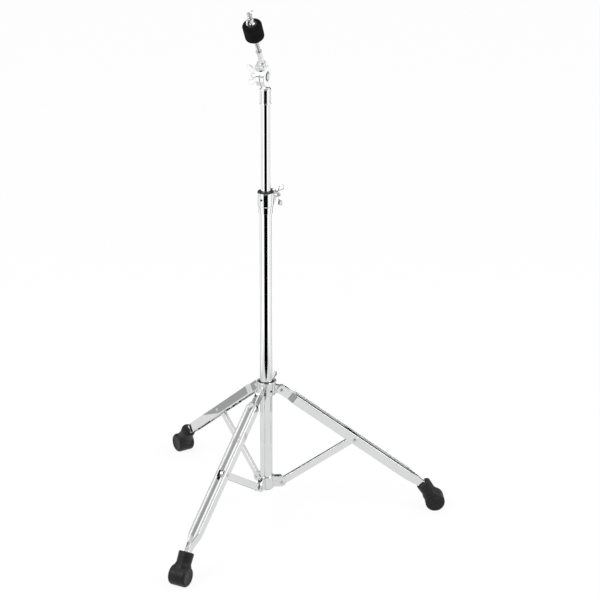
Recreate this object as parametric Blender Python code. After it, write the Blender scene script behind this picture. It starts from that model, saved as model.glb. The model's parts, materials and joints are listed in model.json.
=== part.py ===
"""Cymbal stand: a post of two tubes on a folding tripod, with a tilting rod that holds the cymbal.

The post stands on local Z over the floor. Each leg has a frame of its own at its hinge on the
sliding collar, with X along the leg, Y across it and Z above it. The tilter has a frame at its
pivot, with X where the rod leans and Y along the pivot bolt. At the end, the whole stand is moved
so that the middle of its footprint lies on the world origin.
"""

import math

import bmesh
import bpy
from mathutils import Matrix, Vector

# Clearances, and how far a cutter runs past the faces that it opens
FIT = 0.0003
RUNNING = 0.0004
CUT_PAST = 0.004
CUTTER_REACH = 0.020

# Post
BASE_TUBE_RADIUS = 0.0127
BASE_TUBE_WALL = 0.0014
BASE_TUBE_LENGTH = 0.627
MAST_RADIUS = 0.009525
MAST_WALL = 0.0012
MAST_LENGTH = 0.540
MAST_EXPOSED = 0.173
END_CAP_FLANGE = 0.0020
END_CAP_PLUG = 0.010
GUIDE_BUSH_LENGTH = 0.025
GUIDE_BUSH_LIP = 0.0012

# Tripod
LEG_HEADINGS = {"a": 120.0, "b": 0.0, "c": 240.0}
LEG_ANGLE = math.radians(53.2)
LEG_UPPER = 0.184
LEG_LENGTH = 0.3665
STAY_LENGTH = 0.175
PIVOT_RADIUS = 0.031

# Leg strips, stays and their rivets
STRIP_WALL = 0.0014
STRIP_DEPTH = 0.019
STRIP_END_DEPTH = 0.015
LEG_WIDTH = 0.022
JOGGLE_START = 0.022
JOGGLE_LENGTH = 0.010
BOOT_JOGGLE_START = 0.046
STAY_WIDTH = 0.0070
STAY_DEPTH = 0.0144
STAY_WALL = 0.0012
STAY_SOLID_END = 0.011
RIVET_RADIUS = 0.0020
RIVET_HEAD_RADIUS = 0.0041
RIVET_HEAD_HEIGHT = 0.0016
SPOOL_RADIUS = 0.0068
SPOOL_BARREL_RADIUS = 0.0048
END_BLOCK_LENGTH = 0.030
END_BLOCK_DEPTH = 0.0128

# Sliding leg collar
COLLAR_RADIUS = 0.0190
COLLAR_BELOW = 0.0085
COLLAR_ABOVE = 0.0190
COLLAR_LINER_WALL = 0.0015
COLLAR_LINER_PROUD = 0.0008
COLLAR_LUG_RADIUS = 0.0078
COLLAR_GUSSET = 0.0040
COLLAR_SCREW_HEADING = 60.0
COLLAR_SCREW_RISE = 0.0060
COLLAR_BOSS_RADIUS = 0.0058
COLLAR_BOSS_REACH = 0.0225
COLLAR_WING_SPAN = 0.038

# Fixed lower collar
LOWER_RING_RADIUS = 0.0157
LOWER_BELOW = 0.011
LOWER_ABOVE = 0.015
EAR_THICKNESS = 0.0025
EAR_END_RADIUS = 0.0088
EAR_DROP = 0.0012

# Small set screws
SET_SCREW_RADIUS = 0.0021
SET_SCREW_DEPTH = 0.0018
SET_SCREW_PROUD = 0.0006
COLLAR_SET_SCREW_HEADING = -60.0
COLLAR_SET_SCREW_RISE = 0.0020
LOWER_SET_SCREW_HEADING = 60.0
LOWER_SET_SCREW_RISE = 0.0020
CLAMP_SET_SCREW_HEADING = -122.0
CLAMP_SET_SCREW_DROP = 0.0125

# Rubber feet
FOOT_RADIUS = 0.020
FOOT_LENGTH = 0.036
FOOT_EDGE = 0.005
FOOT_FLAT = 0.0015
BOOT_ANGLE = math.radians(57.0)
BOOT_RADIUS = 0.0145
BOOT_MOUTH_RADIUS = 0.0152
BOOT_LENGTH = 0.046
BOOT_REACH = 0.0378
BOOT_LIP = 0.0022

# Height clamp
CLAMP_RADIUS = 0.0165
CLAMP_HEIGHT = 0.027
CLAMP_BAND_RADIUS = 0.0148
CLAMP_BAND_HEIGHT = 0.014
CLAMP_RISE = 0.002
CLAMP_HEADING = 70.0
CLAMP_SLOT = 0.003
CLAMP_EAR_THICKNESS = 0.005
CLAMP_EAR_REACH = 0.0325
CLAMP_EAR_HEIGHT = 0.022
CLAMP_EAR_CORNER = 0.004
CLAMP_EDGE = 0.0008
CLAMP_BOLT_REACH = 0.0245
CLAMP_BOLT_DROP = 0.0110
CLAMP_NUT_TURN = math.radians(70)
CLAMP_LINER_LENGTH = 0.030
CLAMP_LINER_FLANGE = 0.0016
CLAMP_LINER_FLANGE_RADIUS = 0.0158

# Bolts and wing nuts
BOLT_RADIUS = 0.0030
BOLT_HEAD_RADIUS = 0.0060
BOLT_HEAD_HEIGHT = 0.0036
BOLT_TAIL = 0.0030
HEXAGON_RADIUS = 0.0072
HEXAGON_HEIGHT = 0.0043
WING_HUB_HEIGHT = 0.0125
WING_HUB_RADIUS = 0.0072
WING_THICKNESS = 0.0034
WING_SPAN = 0.041
WING_HEIGHT = 0.0215
WING_SKIRT = 0.0018
WING_SHOULDER = 0.0042
WING_NECK_RADIUS = 0.0058
WING_CROWN_RADIUS = 0.0052
WING_FOOT = 0.0021
WING_ROOT = 0.0030
WING_LOBE_RADIUS = 0.0055

# Tilter
FERRULE_RADIUS = 0.0113
FERRULE_DEPTH = 0.027
FERRULE_BEAD = 0.0004
FERRULE_ROOF = 0.0015
FERRULE_DOME = 0.0034
PIVOT_RISE = 0.053
TILT_HEADING = 247.0
TILT_ANGLE = math.radians(31.2)
DISC_RADIUS = 0.0205
BASE_DISC_FRONT = 0.0043
BASE_DISC_THICKNESS = 0.0080
ARM_DISC_THICKNESS = 0.0085
TILTER_WING_HEIGHT = 0.0235
TILTER_NUT_TURN = math.radians(80)
HEAD_RECESS_RADIUS = 0.0098
HEAD_RECESS_DEPTH = 0.0035
NECK_HALF_WIDTH = 0.0085
CASTING_STEP = 0.0002
ARM_BLOCK_BOTTOM = 0.0225
ARM_BLOCK_TOP = 0.0310
SOCKET_RADIUS = 0.0075
SOCKET_TOP = 0.0370
SOCKET_FLOOR = 0.0265
SOCKET_EDGE = 0.0010
SPRING_POCKET_RADIUS = 0.0056
SPRING_POCKET_DEPTH = 0.0030
SPRING_WIRE = 0.0005
SPRING_TURNS = 4
SPRING_STEPS = 10

# Rod and what it carries, measured along the rod from the pivot
ROD_RADIUS = 0.0040
ROD_TOP = 0.160
ROD_CHAMFER = 0.0010
SLEEVE_RADIUS = 0.0053
SLEEVE_TOP = 0.065
SLEEVE_FLANGE_RADIUS = 0.0064
SLEEVE_FLANGE = 0.0020
FELT_BOTTOM = 0.099
FELT_RADIUS = 0.0185
FELT_THICKNESS = 0.0165
FELT_LOWER_CHAMFER = 0.0045
FELT_SEAM_CHAMFER = 0.0018
FELT_UPPER_CHAMFER = 0.0025
SEAT_NUT_HEIGHT = 0.0065
SEAT_NUT_RADIUS = 0.0075
CUP_WASHER_RADIUS = 0.0135
CUP_WASHER_THICKNESS = 0.0020
CYMBAL_SLEEVE_WALL = 0.0015
NUT_WASHER_RADIUS = 0.0095
NUT_WASHER_THICKNESS = 0.0012
TOP_WING_SPAN = 0.036
TOP_WING_HEIGHT = 0.0195

# Facets
FINE = 28
MEDIUM = 20
COARSE = 14
SMALL = 8
HEXAGON = 6

# Sizes worked out from the ones above
STAY_ANGLE = math.asin(LEG_UPPER * math.sin(LEG_ANGLE) / STAY_LENGTH)
FOOT_AXIS_HEIGHT = FOOT_RADIUS - FOOT_FLAT
LEG_END_HEIGHT = FOOT_AXIS_HEIGHT + BOOT_REACH * math.sin(BOOT_ANGLE)
COLLAR_PIVOT_HEIGHT = LEG_END_HEIGHT + LEG_LENGTH * math.cos(LEG_ANGLE)
STAY_PIVOT_HEIGHT = COLLAR_PIVOT_HEIGHT - LEG_UPPER * math.cos(LEG_ANGLE)
BASE_PIVOT_HEIGHT = STAY_PIVOT_HEIGHT - STAY_LENGTH * math.cos(STAY_ANGLE)
STRIP_TIP = STAY_WIDTH / 2 + RUNNING
NARROW_WEB = STRIP_TIP + 0.0002 + STRIP_WALL
WIDE_WEB = LEG_WIDTH / 2
LUG_THICKNESS = 2 * (STRIP_TIP - FIT)
RIVET_HOLE = RIVET_RADIUS + FIT
BOLT_HOLE = BOLT_RADIUS + FIT
COLLAR_LINER_OUTER = BASE_TUBE_RADIUS + FIT + COLLAR_LINER_WALL
COLLAR_BORE = COLLAR_LINER_OUTER + FIT
TUBE_BORE = BASE_TUBE_RADIUS - BASE_TUBE_WALL
BASE_TUBE_BOTTOM = BASE_PIVOT_HEIGHT - LOWER_BELOW
BASE_TUBE_TOP = BASE_TUBE_BOTTOM + BASE_TUBE_LENGTH
CLAMP_TOP = BASE_TUBE_TOP + CLAMP_RISE
CLAMP_LINER_TOP = CLAMP_TOP + FIT + CLAMP_LINER_FLANGE
FERRULE_BOTTOM = CLAMP_LINER_TOP + MAST_EXPOSED
PIVOT_HEIGHT = FERRULE_BOTTOM + PIVOT_RISE
MAST_TOP = FERRULE_BOTTOM + FERRULE_DEPTH - FIT
MAST_BOTTOM = MAST_TOP - MAST_LENGTH
TOOTH_FACE = BASE_DISC_FRONT - BASE_DISC_THICKNESS
ARM_DISC_FRONT = TOOTH_FACE - RUNNING
ARM_DISC_BACK = ARM_DISC_FRONT - ARM_DISC_THICKNESS
FELT_TOP = FELT_BOTTOM + 2 * FELT_THICKNESS + FIT
WASHER_BOTTOM = FELT_TOP + FIT
TOP_NUT_BOTTOM = WASHER_BOTTOM + NUT_WASHER_THICKNESS + FIT
CUP_WASHER_BOTTOM = FELT_BOTTOM - FIT - CUP_WASHER_THICKNESS
SEAT_NUT_BOTTOM = CUP_WASHER_BOTTOM - FIT - SEAT_NUT_HEIGHT


def clear_scene():
    """Remove every object, so that the stand is alone in the file."""
    for obj in list(bpy.data.objects):
        bpy.data.objects.remove(obj, do_unlink=True)


def material(name, colour, roughness, metallic):
    """Make a Principled material."""
    made = bpy.data.materials.new(name)
    made.use_nodes = True
    shader = made.node_tree.nodes["Principled BSDF"]
    shader.inputs["Base Color"].default_value = (*colour, 1.0)
    shader.inputs["Roughness"].default_value = roughness
    shader.inputs["Metallic"].default_value = metallic
    return made


def finish_mesh(bm, name):
    """Turn a bmesh into a mesh with outward faces and smooth round sides."""
    bmesh.ops.remove_doubles(bm, verts=bm.verts, dist=1e-7)
    bmesh.ops.recalc_face_normals(bm, faces=bm.faces)
    mesh = bpy.data.meshes.new(name)
    bm.to_mesh(mesh)
    bm.free()
    mesh.shade_smooth()
    mesh.set_sharp_from_angle(angle=math.radians(35))
    return mesh


def turned(profile, segments, closed=True):
    """Spin a profile of (radius, height) points about Z. An open one starts and ends on the axis."""
    bm = bmesh.new()
    verts = [bm.verts.new((r, 0.0, z)) for r, z in profile]
    ends = verts[1:] + verts[:1] if closed else verts[1:]
    edges = [bm.edges.new(pair) for pair in zip(verts, ends)]
    bmesh.ops.spin(bm, geom=verts + edges, cent=(0, 0, 0), axis=(0, 0, 1), angle=math.tau,
                   steps=segments, use_merge=True, use_duplicate=False)
    return finish_mesh(bm, "turned")


def ring(inner, outer, bottom, top, segments):
    """A plain tube or washer."""
    return turned([(inner, bottom), (outer, bottom), (outer, top), (inner, top)], segments)


def rod(radius, bottom, top, segments):
    """A plain solid cylinder along Z."""
    return turned([(0, bottom), (radius, bottom), (radius, top), (0, top)], segments, closed=False)


def plate(outline, low, high):
    """Extrude an outline of (x, z) points along Y, from low to high."""
    bm = bmesh.new()
    face = bm.faces.new([bm.verts.new((x, low, z)) for x, z in outline])
    grown = bmesh.ops.extrude_face_region(bm, geom=[face])
    moved = [item for item in grown["geom"] if isinstance(item, bmesh.types.BMVert)]
    bmesh.ops.translate(bm, verts=moved, vec=(0, high - low, 0))
    return finish_mesh(bm, "plate")


def block(low, high):
    """A box between two corners."""
    outline = [(low[0], low[2]), (high[0], low[2]), (high[0], high[2]), (low[0], high[2])]
    return plate(outline, low[1], high[1])


def lofted(sections):
    """Skin a list of closed sections that have the same number of points."""
    bm = bmesh.new()
    loops = [[bm.verts.new(point) for point in section] for section in sections]
    for near, far in zip(loops, loops[1:]):
        for index in range(len(near)):
            after = (index + 1) % len(near)
            bm.faces.new((near[index], near[after], far[after], far[index]))
    bm.faces.new(loops[0])
    bm.faces.new(loops[-1])
    return finish_mesh(bm, "lofted")


def arc(centre, radius, start, end, steps):
    """Points on an arc, with its angles in degrees."""
    angles = [math.radians(start + (end - start) * i / steps) for i in range(steps + 1)]
    return [(centre[0] + radius * math.cos(a), centre[1] + radius * math.sin(a)) for a in angles]


def moved(mesh, matrix):
    """A copy of a mesh at another place, with its faces kept outward."""
    copy = mesh.copy()
    copy.transform(matrix)
    if matrix.determinant() < 0:
        copy.flip_normals()
    return copy


def along_y(mesh, offset=(0, 0, 0)):
    """Lay a mesh made along Z down along +Y."""
    return moved(mesh, Matrix.Translation(offset) @ Matrix.Rotation(-math.pi / 2, 4, "X"))


def along_x(mesh, offset=(0, 0, 0)):
    """Lay a mesh made along Z down along +X."""
    return moved(mesh, Matrix.Translation(offset) @ Matrix.Rotation(math.pi / 2, 4, "Y"))


def combined(mesh, other, operation):
    """Join another closed mesh to a mesh, or cut it out."""
    body = bpy.data.objects.new("body", mesh)
    tool = bpy.data.objects.new("tool", other)
    for obj in (body, tool):
        bpy.context.scene.collection.objects.link(obj)
    boolean = body.modifiers.new("boolean", "BOOLEAN")
    boolean.operation = operation
    boolean.object = tool
    graph = bpy.context.evaluated_depsgraph_get()
    made = bpy.data.meshes.new_from_object(body.evaluated_get(graph))
    for obj in (body, tool):
        bpy.data.objects.remove(obj, do_unlink=True)
    made.shade_smooth()
    made.set_sharp_from_angle(angle=math.radians(35))
    return made


def joined(mesh, *others):
    """Union with each of the others in turn."""
    for other in others:
        mesh = combined(mesh, other, "UNION")
    return mesh


def cut(mesh, *others):
    """Difference with each of the others in turn."""
    for other in others:
        mesh = combined(mesh, other, "DIFFERENCE")
    return mesh


def frame(name, parent=None, location=(0, 0, 0), turn=(0, 0, 0)):
    """An empty that carries pieces, turned by Euler angles about X, Y and Z."""
    empty = bpy.data.objects.new(name, None)
    empty.empty_display_size = 0.02
    empty.parent = parent
    empty.location = location
    empty.rotation_euler = turn
    bpy.context.scene.collection.objects.link(empty)
    return empty


def piece(name, mesh, finish, parent, location=(0, 0, 0), turn=(0, 0, 0)):
    """Place a sub-part, with its own mesh and its material."""
    made = mesh.copy()
    made.name = name
    made.materials.clear()
    made.materials.append(finish)
    obj = bpy.data.objects.new(name, made)
    obj.parent = parent
    obj.location = location
    obj.rotation_euler = turn
    bpy.context.scene.collection.objects.link(obj)
    return obj


def heading_frame(name, parent, heading, height):
    """A frame on the post's axis, with X pointing along a heading."""
    return frame(name, parent, (0, 0, height), (0, 0, math.radians(heading)))


def set_screw(surface_radius):
    """A small socket screw lying along +X, in a pocket of the surface."""
    inner = surface_radius - SET_SCREW_DEPTH + FIT
    return along_x(rod(SET_SCREW_RADIUS, inner, surface_radius + SET_SCREW_PROUD, SMALL))


def facing(heading, height):
    """The place of something on the post's axis that points along a heading."""
    return Matrix.Translation((0, 0, height)) @ Matrix.Rotation(math.radians(heading), 4, "Z")


def leg_turns():
    """The turn about the post of each leg."""
    return [facing(heading, 0) for heading in LEG_HEADINGS.values()]


def set_screw_pocket(surface_radius, heading, height):
    """The pocket for a set screw, as a cutter in the post's frame."""
    floor = surface_radius - SET_SCREW_DEPTH
    pocket = along_x(rod(SET_SCREW_RADIUS + FIT, floor, surface_radius + CUT_PAST, SMALL))
    return moved(pocket, facing(heading, height))


def wing_nut(span, height, bore):
    """A butterfly nut along +Z from its seat, with its wings in the XZ plane."""
    hub = turned([(0, 0), (WING_HUB_RADIUS, 0), (WING_HUB_RADIUS, WING_SKIRT),
                  (WING_NECK_RADIUS, WING_SHOULDER), (WING_CROWN_RADIUS, WING_HUB_HEIGHT),
                  (0, WING_HUB_HEIGHT)], COARSE, closed=False)
    lobe_centre = (span / 2 - WING_LOBE_RADIUS, height - WING_LOBE_RADIUS)
    outline = [(WING_ROOT, WING_FOOT), (WING_HUB_RADIUS + WING_ROOT / 2, WING_FOOT),
               *arc(lobe_centre, WING_LOBE_RADIUS, -50, 170, 6),
               (WING_HUB_RADIUS, WING_HUB_HEIGHT * 0.86), (WING_ROOT, WING_HUB_HEIGHT * 0.82)]
    wing = plate(outline, -WING_THICKNESS / 2, WING_THICKNESS / 2)
    other = moved(wing, Matrix.Rotation(math.pi, 4, "Z"))
    winged = joined(hub, wing, other)
    if bore:
        winged = cut(winged, rod(bore, -CUT_PAST, WING_HUB_HEIGHT + CUT_PAST, COARSE))
    return winged


def rivet_head(face):
    """The profile of a domed rivet head on a face, from its rim to its crown."""
    crown = face + RIVET_HEAD_HEIGHT
    return [(RIVET_HEAD_RADIUS, face), (RIVET_HEAD_RADIUS, face + RIVET_HEAD_HEIGHT * 0.4),
            (RIVET_HEAD_RADIUS * 0.62, crown), (0, crown)]


def rivet(half_length):
    """A rivet along Z through its middle, with a domed head at each end."""
    upper = [(RIVET_RADIUS, half_length), *rivet_head(half_length)]
    lower = [(r, -z) for r, z in reversed(upper)]
    return turned(lower + upper, SMALL, closed=False)


def half_rivet(start, length):
    """A rivet along Z that starts at a plate's inner face and ends in a domed head outside."""
    face = start + length + FIT
    profile = [(0, start), (RIVET_RADIUS, start), (RIVET_RADIUS, face), *rivet_head(face)]
    return turned(profile, SMALL, closed=False)


def strip_section(x, half_depth, web):
    """The leg strip's channel section at a distance along the leg, open towards the leg's middle."""
    inner = web - STRIP_WALL
    floor = half_depth - STRIP_WALL
    return [(x, web, -half_depth), (x, web, half_depth), (x, STRIP_TIP, half_depth),
            (x, STRIP_TIP, floor), (x, inner, floor), (x, inner, -floor),
            (x, STRIP_TIP, -floor), (x, STRIP_TIP, -half_depth)]


def leg_strip():
    """The strip on the leg's +Y side: a channel, pinched flat at the collar and in the boot."""
    half = STRIP_DEPTH / 2
    end = STRIP_END_DEPTH / 2
    boot = LEG_LENGTH - BOOT_JOGGLE_START
    round_end = [math.radians(a) for a in (65, 42, 20, 0)]
    sections = [strip_section(-half * math.sin(a), half * math.cos(a), NARROW_WEB) for a in round_end]
    sections.append(strip_section(JOGGLE_START, half, NARROW_WEB))
    sections.append(strip_section(JOGGLE_START + JOGGLE_LENGTH, half, WIDE_WEB))
    sections.append(strip_section(boot, half, WIDE_WEB))
    sections.append(strip_section(boot + 2 * JOGGLE_LENGTH, half * 0.97, NARROW_WEB))
    sections.append(strip_section(boot + 3 * JOGGLE_LENGTH, end, NARROW_WEB))
    sections.append(strip_section(LEG_LENGTH, end, NARROW_WEB))
    holes = [along_y(rod(RIVET_HOLE, 0, LEG_WIDTH, SMALL), (x, 0, 0)) for x in (0, LEG_UPPER)]
    return cut(lofted(sections), *holes)


def stay_bar():
    """A stay from its outer eye at the origin to its inner eye on +X: a channel, open on +Z."""
    half = STAY_DEPTH / 2
    outline = arc((0, 0), half, 90, 270, 8) + arc((STAY_LENGTH, 0), half, -90, 90, 8)
    bar = plate(outline, -STAY_WIDTH / 2, STAY_WIDTH / 2)
    side = STAY_WIDTH / 2 - STAY_WALL
    trough = block((STAY_SOLID_END, -side, STAY_WALL - half),
                   (STAY_LENGTH - STAY_SOLID_END, side, STAY_DEPTH))
    outer_eye = along_y(rod(SPOOL_BARREL_RADIUS + FIT, -STAY_WIDTH, STAY_WIDTH, COARSE))
    inner_eye = along_y(rod(RIVET_HOLE, -STAY_WIDTH, STAY_WIDTH, SMALL), (STAY_LENGTH, 0, 0))
    return cut(bar, trough, outer_eye, inner_eye)


def spool():
    """The nylon spacer that centres the stay between the two strips, with the rivet through it."""
    inside = STAY_WIDTH / 2 + FIT
    outside = WIDE_WEB - STRIP_WALL - FIT
    profile = [(RIVET_HOLE, -outside), (SPOOL_RADIUS, -outside), (SPOOL_RADIUS, -inside),
               (SPOOL_BARREL_RADIUS, -inside), (SPOOL_BARREL_RADIUS, inside), (SPOOL_RADIUS, inside),
               (SPOOL_RADIUS, outside), (RIVET_HOLE, outside)]
    return along_y(turned(profile, COARSE))


def boot_axis():
    """The direction from the foot's barrel up along its sleeve, in the foot's frame."""
    return Vector((-math.cos(BOOT_ANGLE), 0, math.sin(BOOT_ANGLE)))


def foot():
    """The rubber foot: a barrel across the leg, a sleeve up the leg's end, and a flat sole."""
    half = FOOT_LENGTH / 2
    corner = arc((FOOT_RADIUS - FOOT_EDGE, half - FOOT_EDGE), FOOT_EDGE, 0, 90, 3)
    upper = [*corner, (0, half)]
    lower = [(r, -z) for r, z in reversed(upper)]
    barrel = along_y(turned(lower + upper, MEDIUM, closed=False))
    start = FOOT_RADIUS * 0.3
    lip_centre = (BOOT_MOUTH_RADIUS - BOOT_LIP, BOOT_LENGTH - BOOT_LIP)
    profile = [(0, start), (BOOT_RADIUS, start), *arc(lip_centre, BOOT_LIP, 0, 90, 2), (0, BOOT_LENGTH)]
    turn = Matrix.Rotation(BOOT_ANGLE - math.pi / 2, 4, "Y")
    sleeve = moved(turned(profile, MEDIUM, closed=False), turn)
    wide = 2 * FOOT_RADIUS
    sole = block((-wide, -wide, -wide), (wide, wide, -FOOT_AXIS_HEIGHT))
    width = NARROW_WEB + FIT
    depth = STRIP_END_DEPTH / 2 + FIT
    socket = block((-BOOT_LENGTH, -width, -depth), (FIT, width, depth))
    lean = Matrix.Rotation(math.pi / 2 - LEG_ANGLE, 4, "Y")
    socket = moved(socket, Matrix.Translation(boot_axis() * BOOT_REACH) @ lean)
    return cut(joined(barrel, sleeve), sole, socket)


def leg_collar():
    """The sliding collar: a ring with three tongues for the legs and a boss for the wing screw."""
    body = ring(COLLAR_BORE, COLLAR_RADIUS, -COLLAR_BELOW, COLLAR_ABOVE, FINE)
    root = (COLLAR_BORE + COLLAR_RADIUS) / 2
    outline = [(root, -COLLAR_LUG_RADIUS), *arc((PIVOT_RADIUS, 0), COLLAR_LUG_RADIUS, -90, 90, 8),
               (root, COLLAR_LUG_RADIUS + COLLAR_GUSSET)]
    tongue = plate(outline, -LUG_THICKNESS / 2, LUG_THICKNESS / 2)
    hole = along_y(rod(RIVET_HOLE, -CUTTER_REACH, CUTTER_REACH, SMALL), (PIVOT_RADIUS, 0, 0))
    place = facing(COLLAR_SCREW_HEADING, COLLAR_SCREW_RISE)
    boss = moved(along_x(rod(COLLAR_BOSS_RADIUS, root, COLLAR_BOSS_REACH, COARSE)), place)
    bore = moved(along_x(rod(BOLT_HOLE, COLLAR_BORE / 2, COLLAR_BOSS_REACH + CUT_PAST, COARSE)), place)
    pocket = set_screw_pocket(COLLAR_RADIUS, COLLAR_SET_SCREW_HEADING, COLLAR_SET_SCREW_RISE)
    body = joined(body, *[moved(tongue, turn) for turn in leg_turns()], boss)
    return cut(body, *[moved(hole, turn) for turn in leg_turns()], bore, pocket)


def lower_collar():
    """The fixed collar at the tube's foot, with a pair of ears for each stay."""
    body = ring(BASE_TUBE_RADIUS + FIT, LOWER_RING_RADIUS, -LOWER_BELOW, LOWER_ABOVE, FINE)
    inner = STAY_WIDTH / 2 + RUNNING
    root = math.sqrt(LOWER_RING_RADIUS ** 2 - (inner + EAR_THICKNESS) ** 2) - RUNNING
    ear_top = LOWER_ABOVE - EAR_DROP
    outline = [(root, -EAR_END_RADIUS), *arc((PIVOT_RADIUS, 0), EAR_END_RADIUS, -90, 40, 7),
               (PIVOT_RADIUS - EAR_DROP, ear_top), (root, ear_top)]
    near = plate(outline, -inner - EAR_THICKNESS, -inner)
    far = plate(outline, inner, inner + EAR_THICKNESS)
    hole = along_y(rod(RIVET_HOLE, -CUTTER_REACH, CUTTER_REACH, SMALL), (PIVOT_RADIUS, 0, 0))
    pocket = set_screw_pocket(LOWER_RING_RADIUS, LOWER_SET_SCREW_HEADING, LOWER_SET_SCREW_RISE)
    body = joined(body, *[moved(ear, turn) for turn in leg_turns() for ear in (near, far)])
    return cut(body, *[moved(hole, turn) for turn in leg_turns()], pocket)


def height_clamp():
    """The split collar at the tube's top, from its top face down, with its ears on +X."""
    step = -CLAMP_HEIGHT
    bore = BASE_TUBE_RADIUS + FIT
    foot = step - CLAMP_BAND_HEIGHT
    profile = [(bore, 0), (bore, foot), (CLAMP_BAND_RADIUS, foot), (CLAMP_BAND_RADIUS, step),
               (CLAMP_RADIUS, step + CLAMP_EDGE), (CLAMP_RADIUS, -CLAMP_EDGE), (CLAMP_RADIUS - CLAMP_EDGE, 0)]
    body = turned(list(reversed(profile)), FINE)
    root = (bore + CLAMP_RADIUS) / 2 - CLAMP_EDGE
    half = CLAMP_EAR_HEIGHT / 2
    corner = CLAMP_EAR_CORNER
    outline = [(root, -half), *arc((CLAMP_EAR_REACH - corner, corner - half), corner, -90, 0, 3),
               *arc((CLAMP_EAR_REACH - corner, half - corner), corner, 0, 90, 3), (root, half)]
    side = CLAMP_SLOT / 2 + CLAMP_EAR_THICKNESS
    ears = moved(plate(outline, -side, side), Matrix.Translation((0, 0, -CLAMP_BOLT_DROP)))
    slot = block((bore / 2, -CLAMP_SLOT / 2, step), (CLAMP_EAR_REACH + CUT_PAST, CLAMP_SLOT / 2, CUT_PAST))
    inside = rod(bore, step, CUT_PAST, FINE)
    hole = rod(BOLT_HOLE, -CUTTER_REACH, CUTTER_REACH, COARSE)
    hole = along_y(hole, (CLAMP_BOLT_REACH, 0, -CLAMP_BOLT_DROP))
    heading = CLAMP_SET_SCREW_HEADING - CLAMP_HEADING
    pocket = set_screw_pocket(CLAMP_RADIUS, heading, -CLAMP_SET_SCREW_DROP)
    return cut(joined(body, ears), slot, hole, pocket, inside)


def clamp_liner():
    """The nylon liner in the tube's top end, from the clamp's top face."""
    inner = MAST_RADIUS + FIT
    outer = TUBE_BORE - FIT
    top = FIT + CLAMP_LINER_FLANGE
    return turned([(inner, -CLAMP_LINER_LENGTH), (outer, -CLAMP_LINER_LENGTH), (outer, FIT),
                   (CLAMP_LINER_FLANGE_RADIUS, FIT), (CLAMP_LINER_FLANGE_RADIUS, top - 0.0005),
                   (CLAMP_LINER_FLANGE_RADIUS - 0.0005, top), (inner, top)], FINE)


def bolt(grip):
    """A round-headed bolt along +Z: its head below zero, its shank through the grip and the nut."""
    length = grip + WING_HUB_HEIGHT + BOLT_TAIL
    profile = [(0, -BOLT_HEAD_HEIGHT), (BOLT_HEAD_RADIUS * 0.7, -BOLT_HEAD_HEIGHT),
               (BOLT_HEAD_RADIUS, -BOLT_HEAD_HEIGHT * 0.45), (BOLT_HEAD_RADIUS, -FIT), (BOLT_RADIUS, -FIT),
               (BOLT_RADIUS, length), (0, length)]
    return turned(profile, COARSE, closed=False)


def tilter_base():
    """The casting on the mast: a ferrule round the tube's end, and a disc across the pivot bolt."""
    bottom = -PIVOT_RISE
    shoulder = bottom + FERRULE_DEPTH + FERRULE_ROOF
    crown = shoulder + FERRULE_DOME
    bead = FERRULE_RADIUS + FERRULE_BEAD
    bead_top = bottom + 4 * FERRULE_BEAD
    body = turned([(0, bottom), (bead, bottom), (bead, bead_top), (FERRULE_RADIUS, bead_top + FERRULE_BEAD),
                   (FERRULE_RADIUS, shoulder), (FERRULE_RADIUS * 0.86, shoulder + FERRULE_DOME * 0.65),
                   (FERRULE_RADIUS * 0.5, crown), (0, crown)], FINE, closed=False)
    back = TOOTH_FACE
    front = BASE_DISC_FRONT
    disc = along_y(rod(DISC_RADIUS, back, front, FINE))
    neck = block((-NECK_HALF_WIDTH, back + CASTING_STEP, shoulder - FERRULE_ROOF),
                 (NECK_HALF_WIDTH, front - CASTING_STEP, -DISC_RADIUS * 0.7))
    bore = rod(MAST_RADIUS + FIT, bottom - CUT_PAST, bottom + FERRULE_DEPTH, FINE)
    recess = along_y(rod(HEAD_RECESS_RADIUS, front - HEAD_RECESS_DEPTH, front + CUT_PAST, MEDIUM))
    hole = along_y(rod(BOLT_HOLE, -CUTTER_REACH, CUTTER_REACH, COARSE))
    pocket = along_y(rod(SPRING_POCKET_RADIUS, back - CUT_PAST, back + SPRING_POCKET_DEPTH, COARSE))
    return cut(joined(body, disc, neck), bore, recess, hole, pocket)


def tilter_arm():
    """The casting that carries the rod: a disc beside the base's disc, and a socket over both."""
    disc = along_y(rod(DISC_RADIUS, ARM_DISC_BACK, ARM_DISC_FRONT, FINE))
    wide = NECK_HALF_WIDTH
    back = ARM_DISC_BACK
    front = ARM_DISC_FRONT
    web = block((-wide, back + CASTING_STEP, DISC_RADIUS * 0.6), (wide, front - CASTING_STEP, ARM_BLOCK_TOP))
    bridge = block((CASTING_STEP - wide, back + SOCKET_EDGE, ARM_BLOCK_BOTTOM),
                   (wide - CASTING_STEP, SOCKET_RADIUS - SOCKET_EDGE, ARM_BLOCK_TOP - CASTING_STEP))
    bottom = ARM_BLOCK_BOTTOM + SOCKET_EDGE
    socket = turned([(0, bottom), (SOCKET_RADIUS, bottom), (SOCKET_RADIUS, SOCKET_TOP - SOCKET_EDGE),
                     (SOCKET_RADIUS - SOCKET_EDGE, SOCKET_TOP), (0, SOCKET_TOP)], MEDIUM, closed=False)
    bore = rod(ROD_RADIUS + FIT, SOCKET_FLOOR, SOCKET_TOP + CUT_PAST, COARSE)
    hole = along_y(rod(BOLT_HOLE, -CUTTER_REACH, CUTTER_REACH, COARSE))
    pocket = along_y(rod(SPRING_POCKET_RADIUS, front - SPRING_POCKET_DEPTH, front + CUT_PAST, COARSE))
    return cut(joined(disc, web, bridge, socket), bore, hole, pocket)


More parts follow.
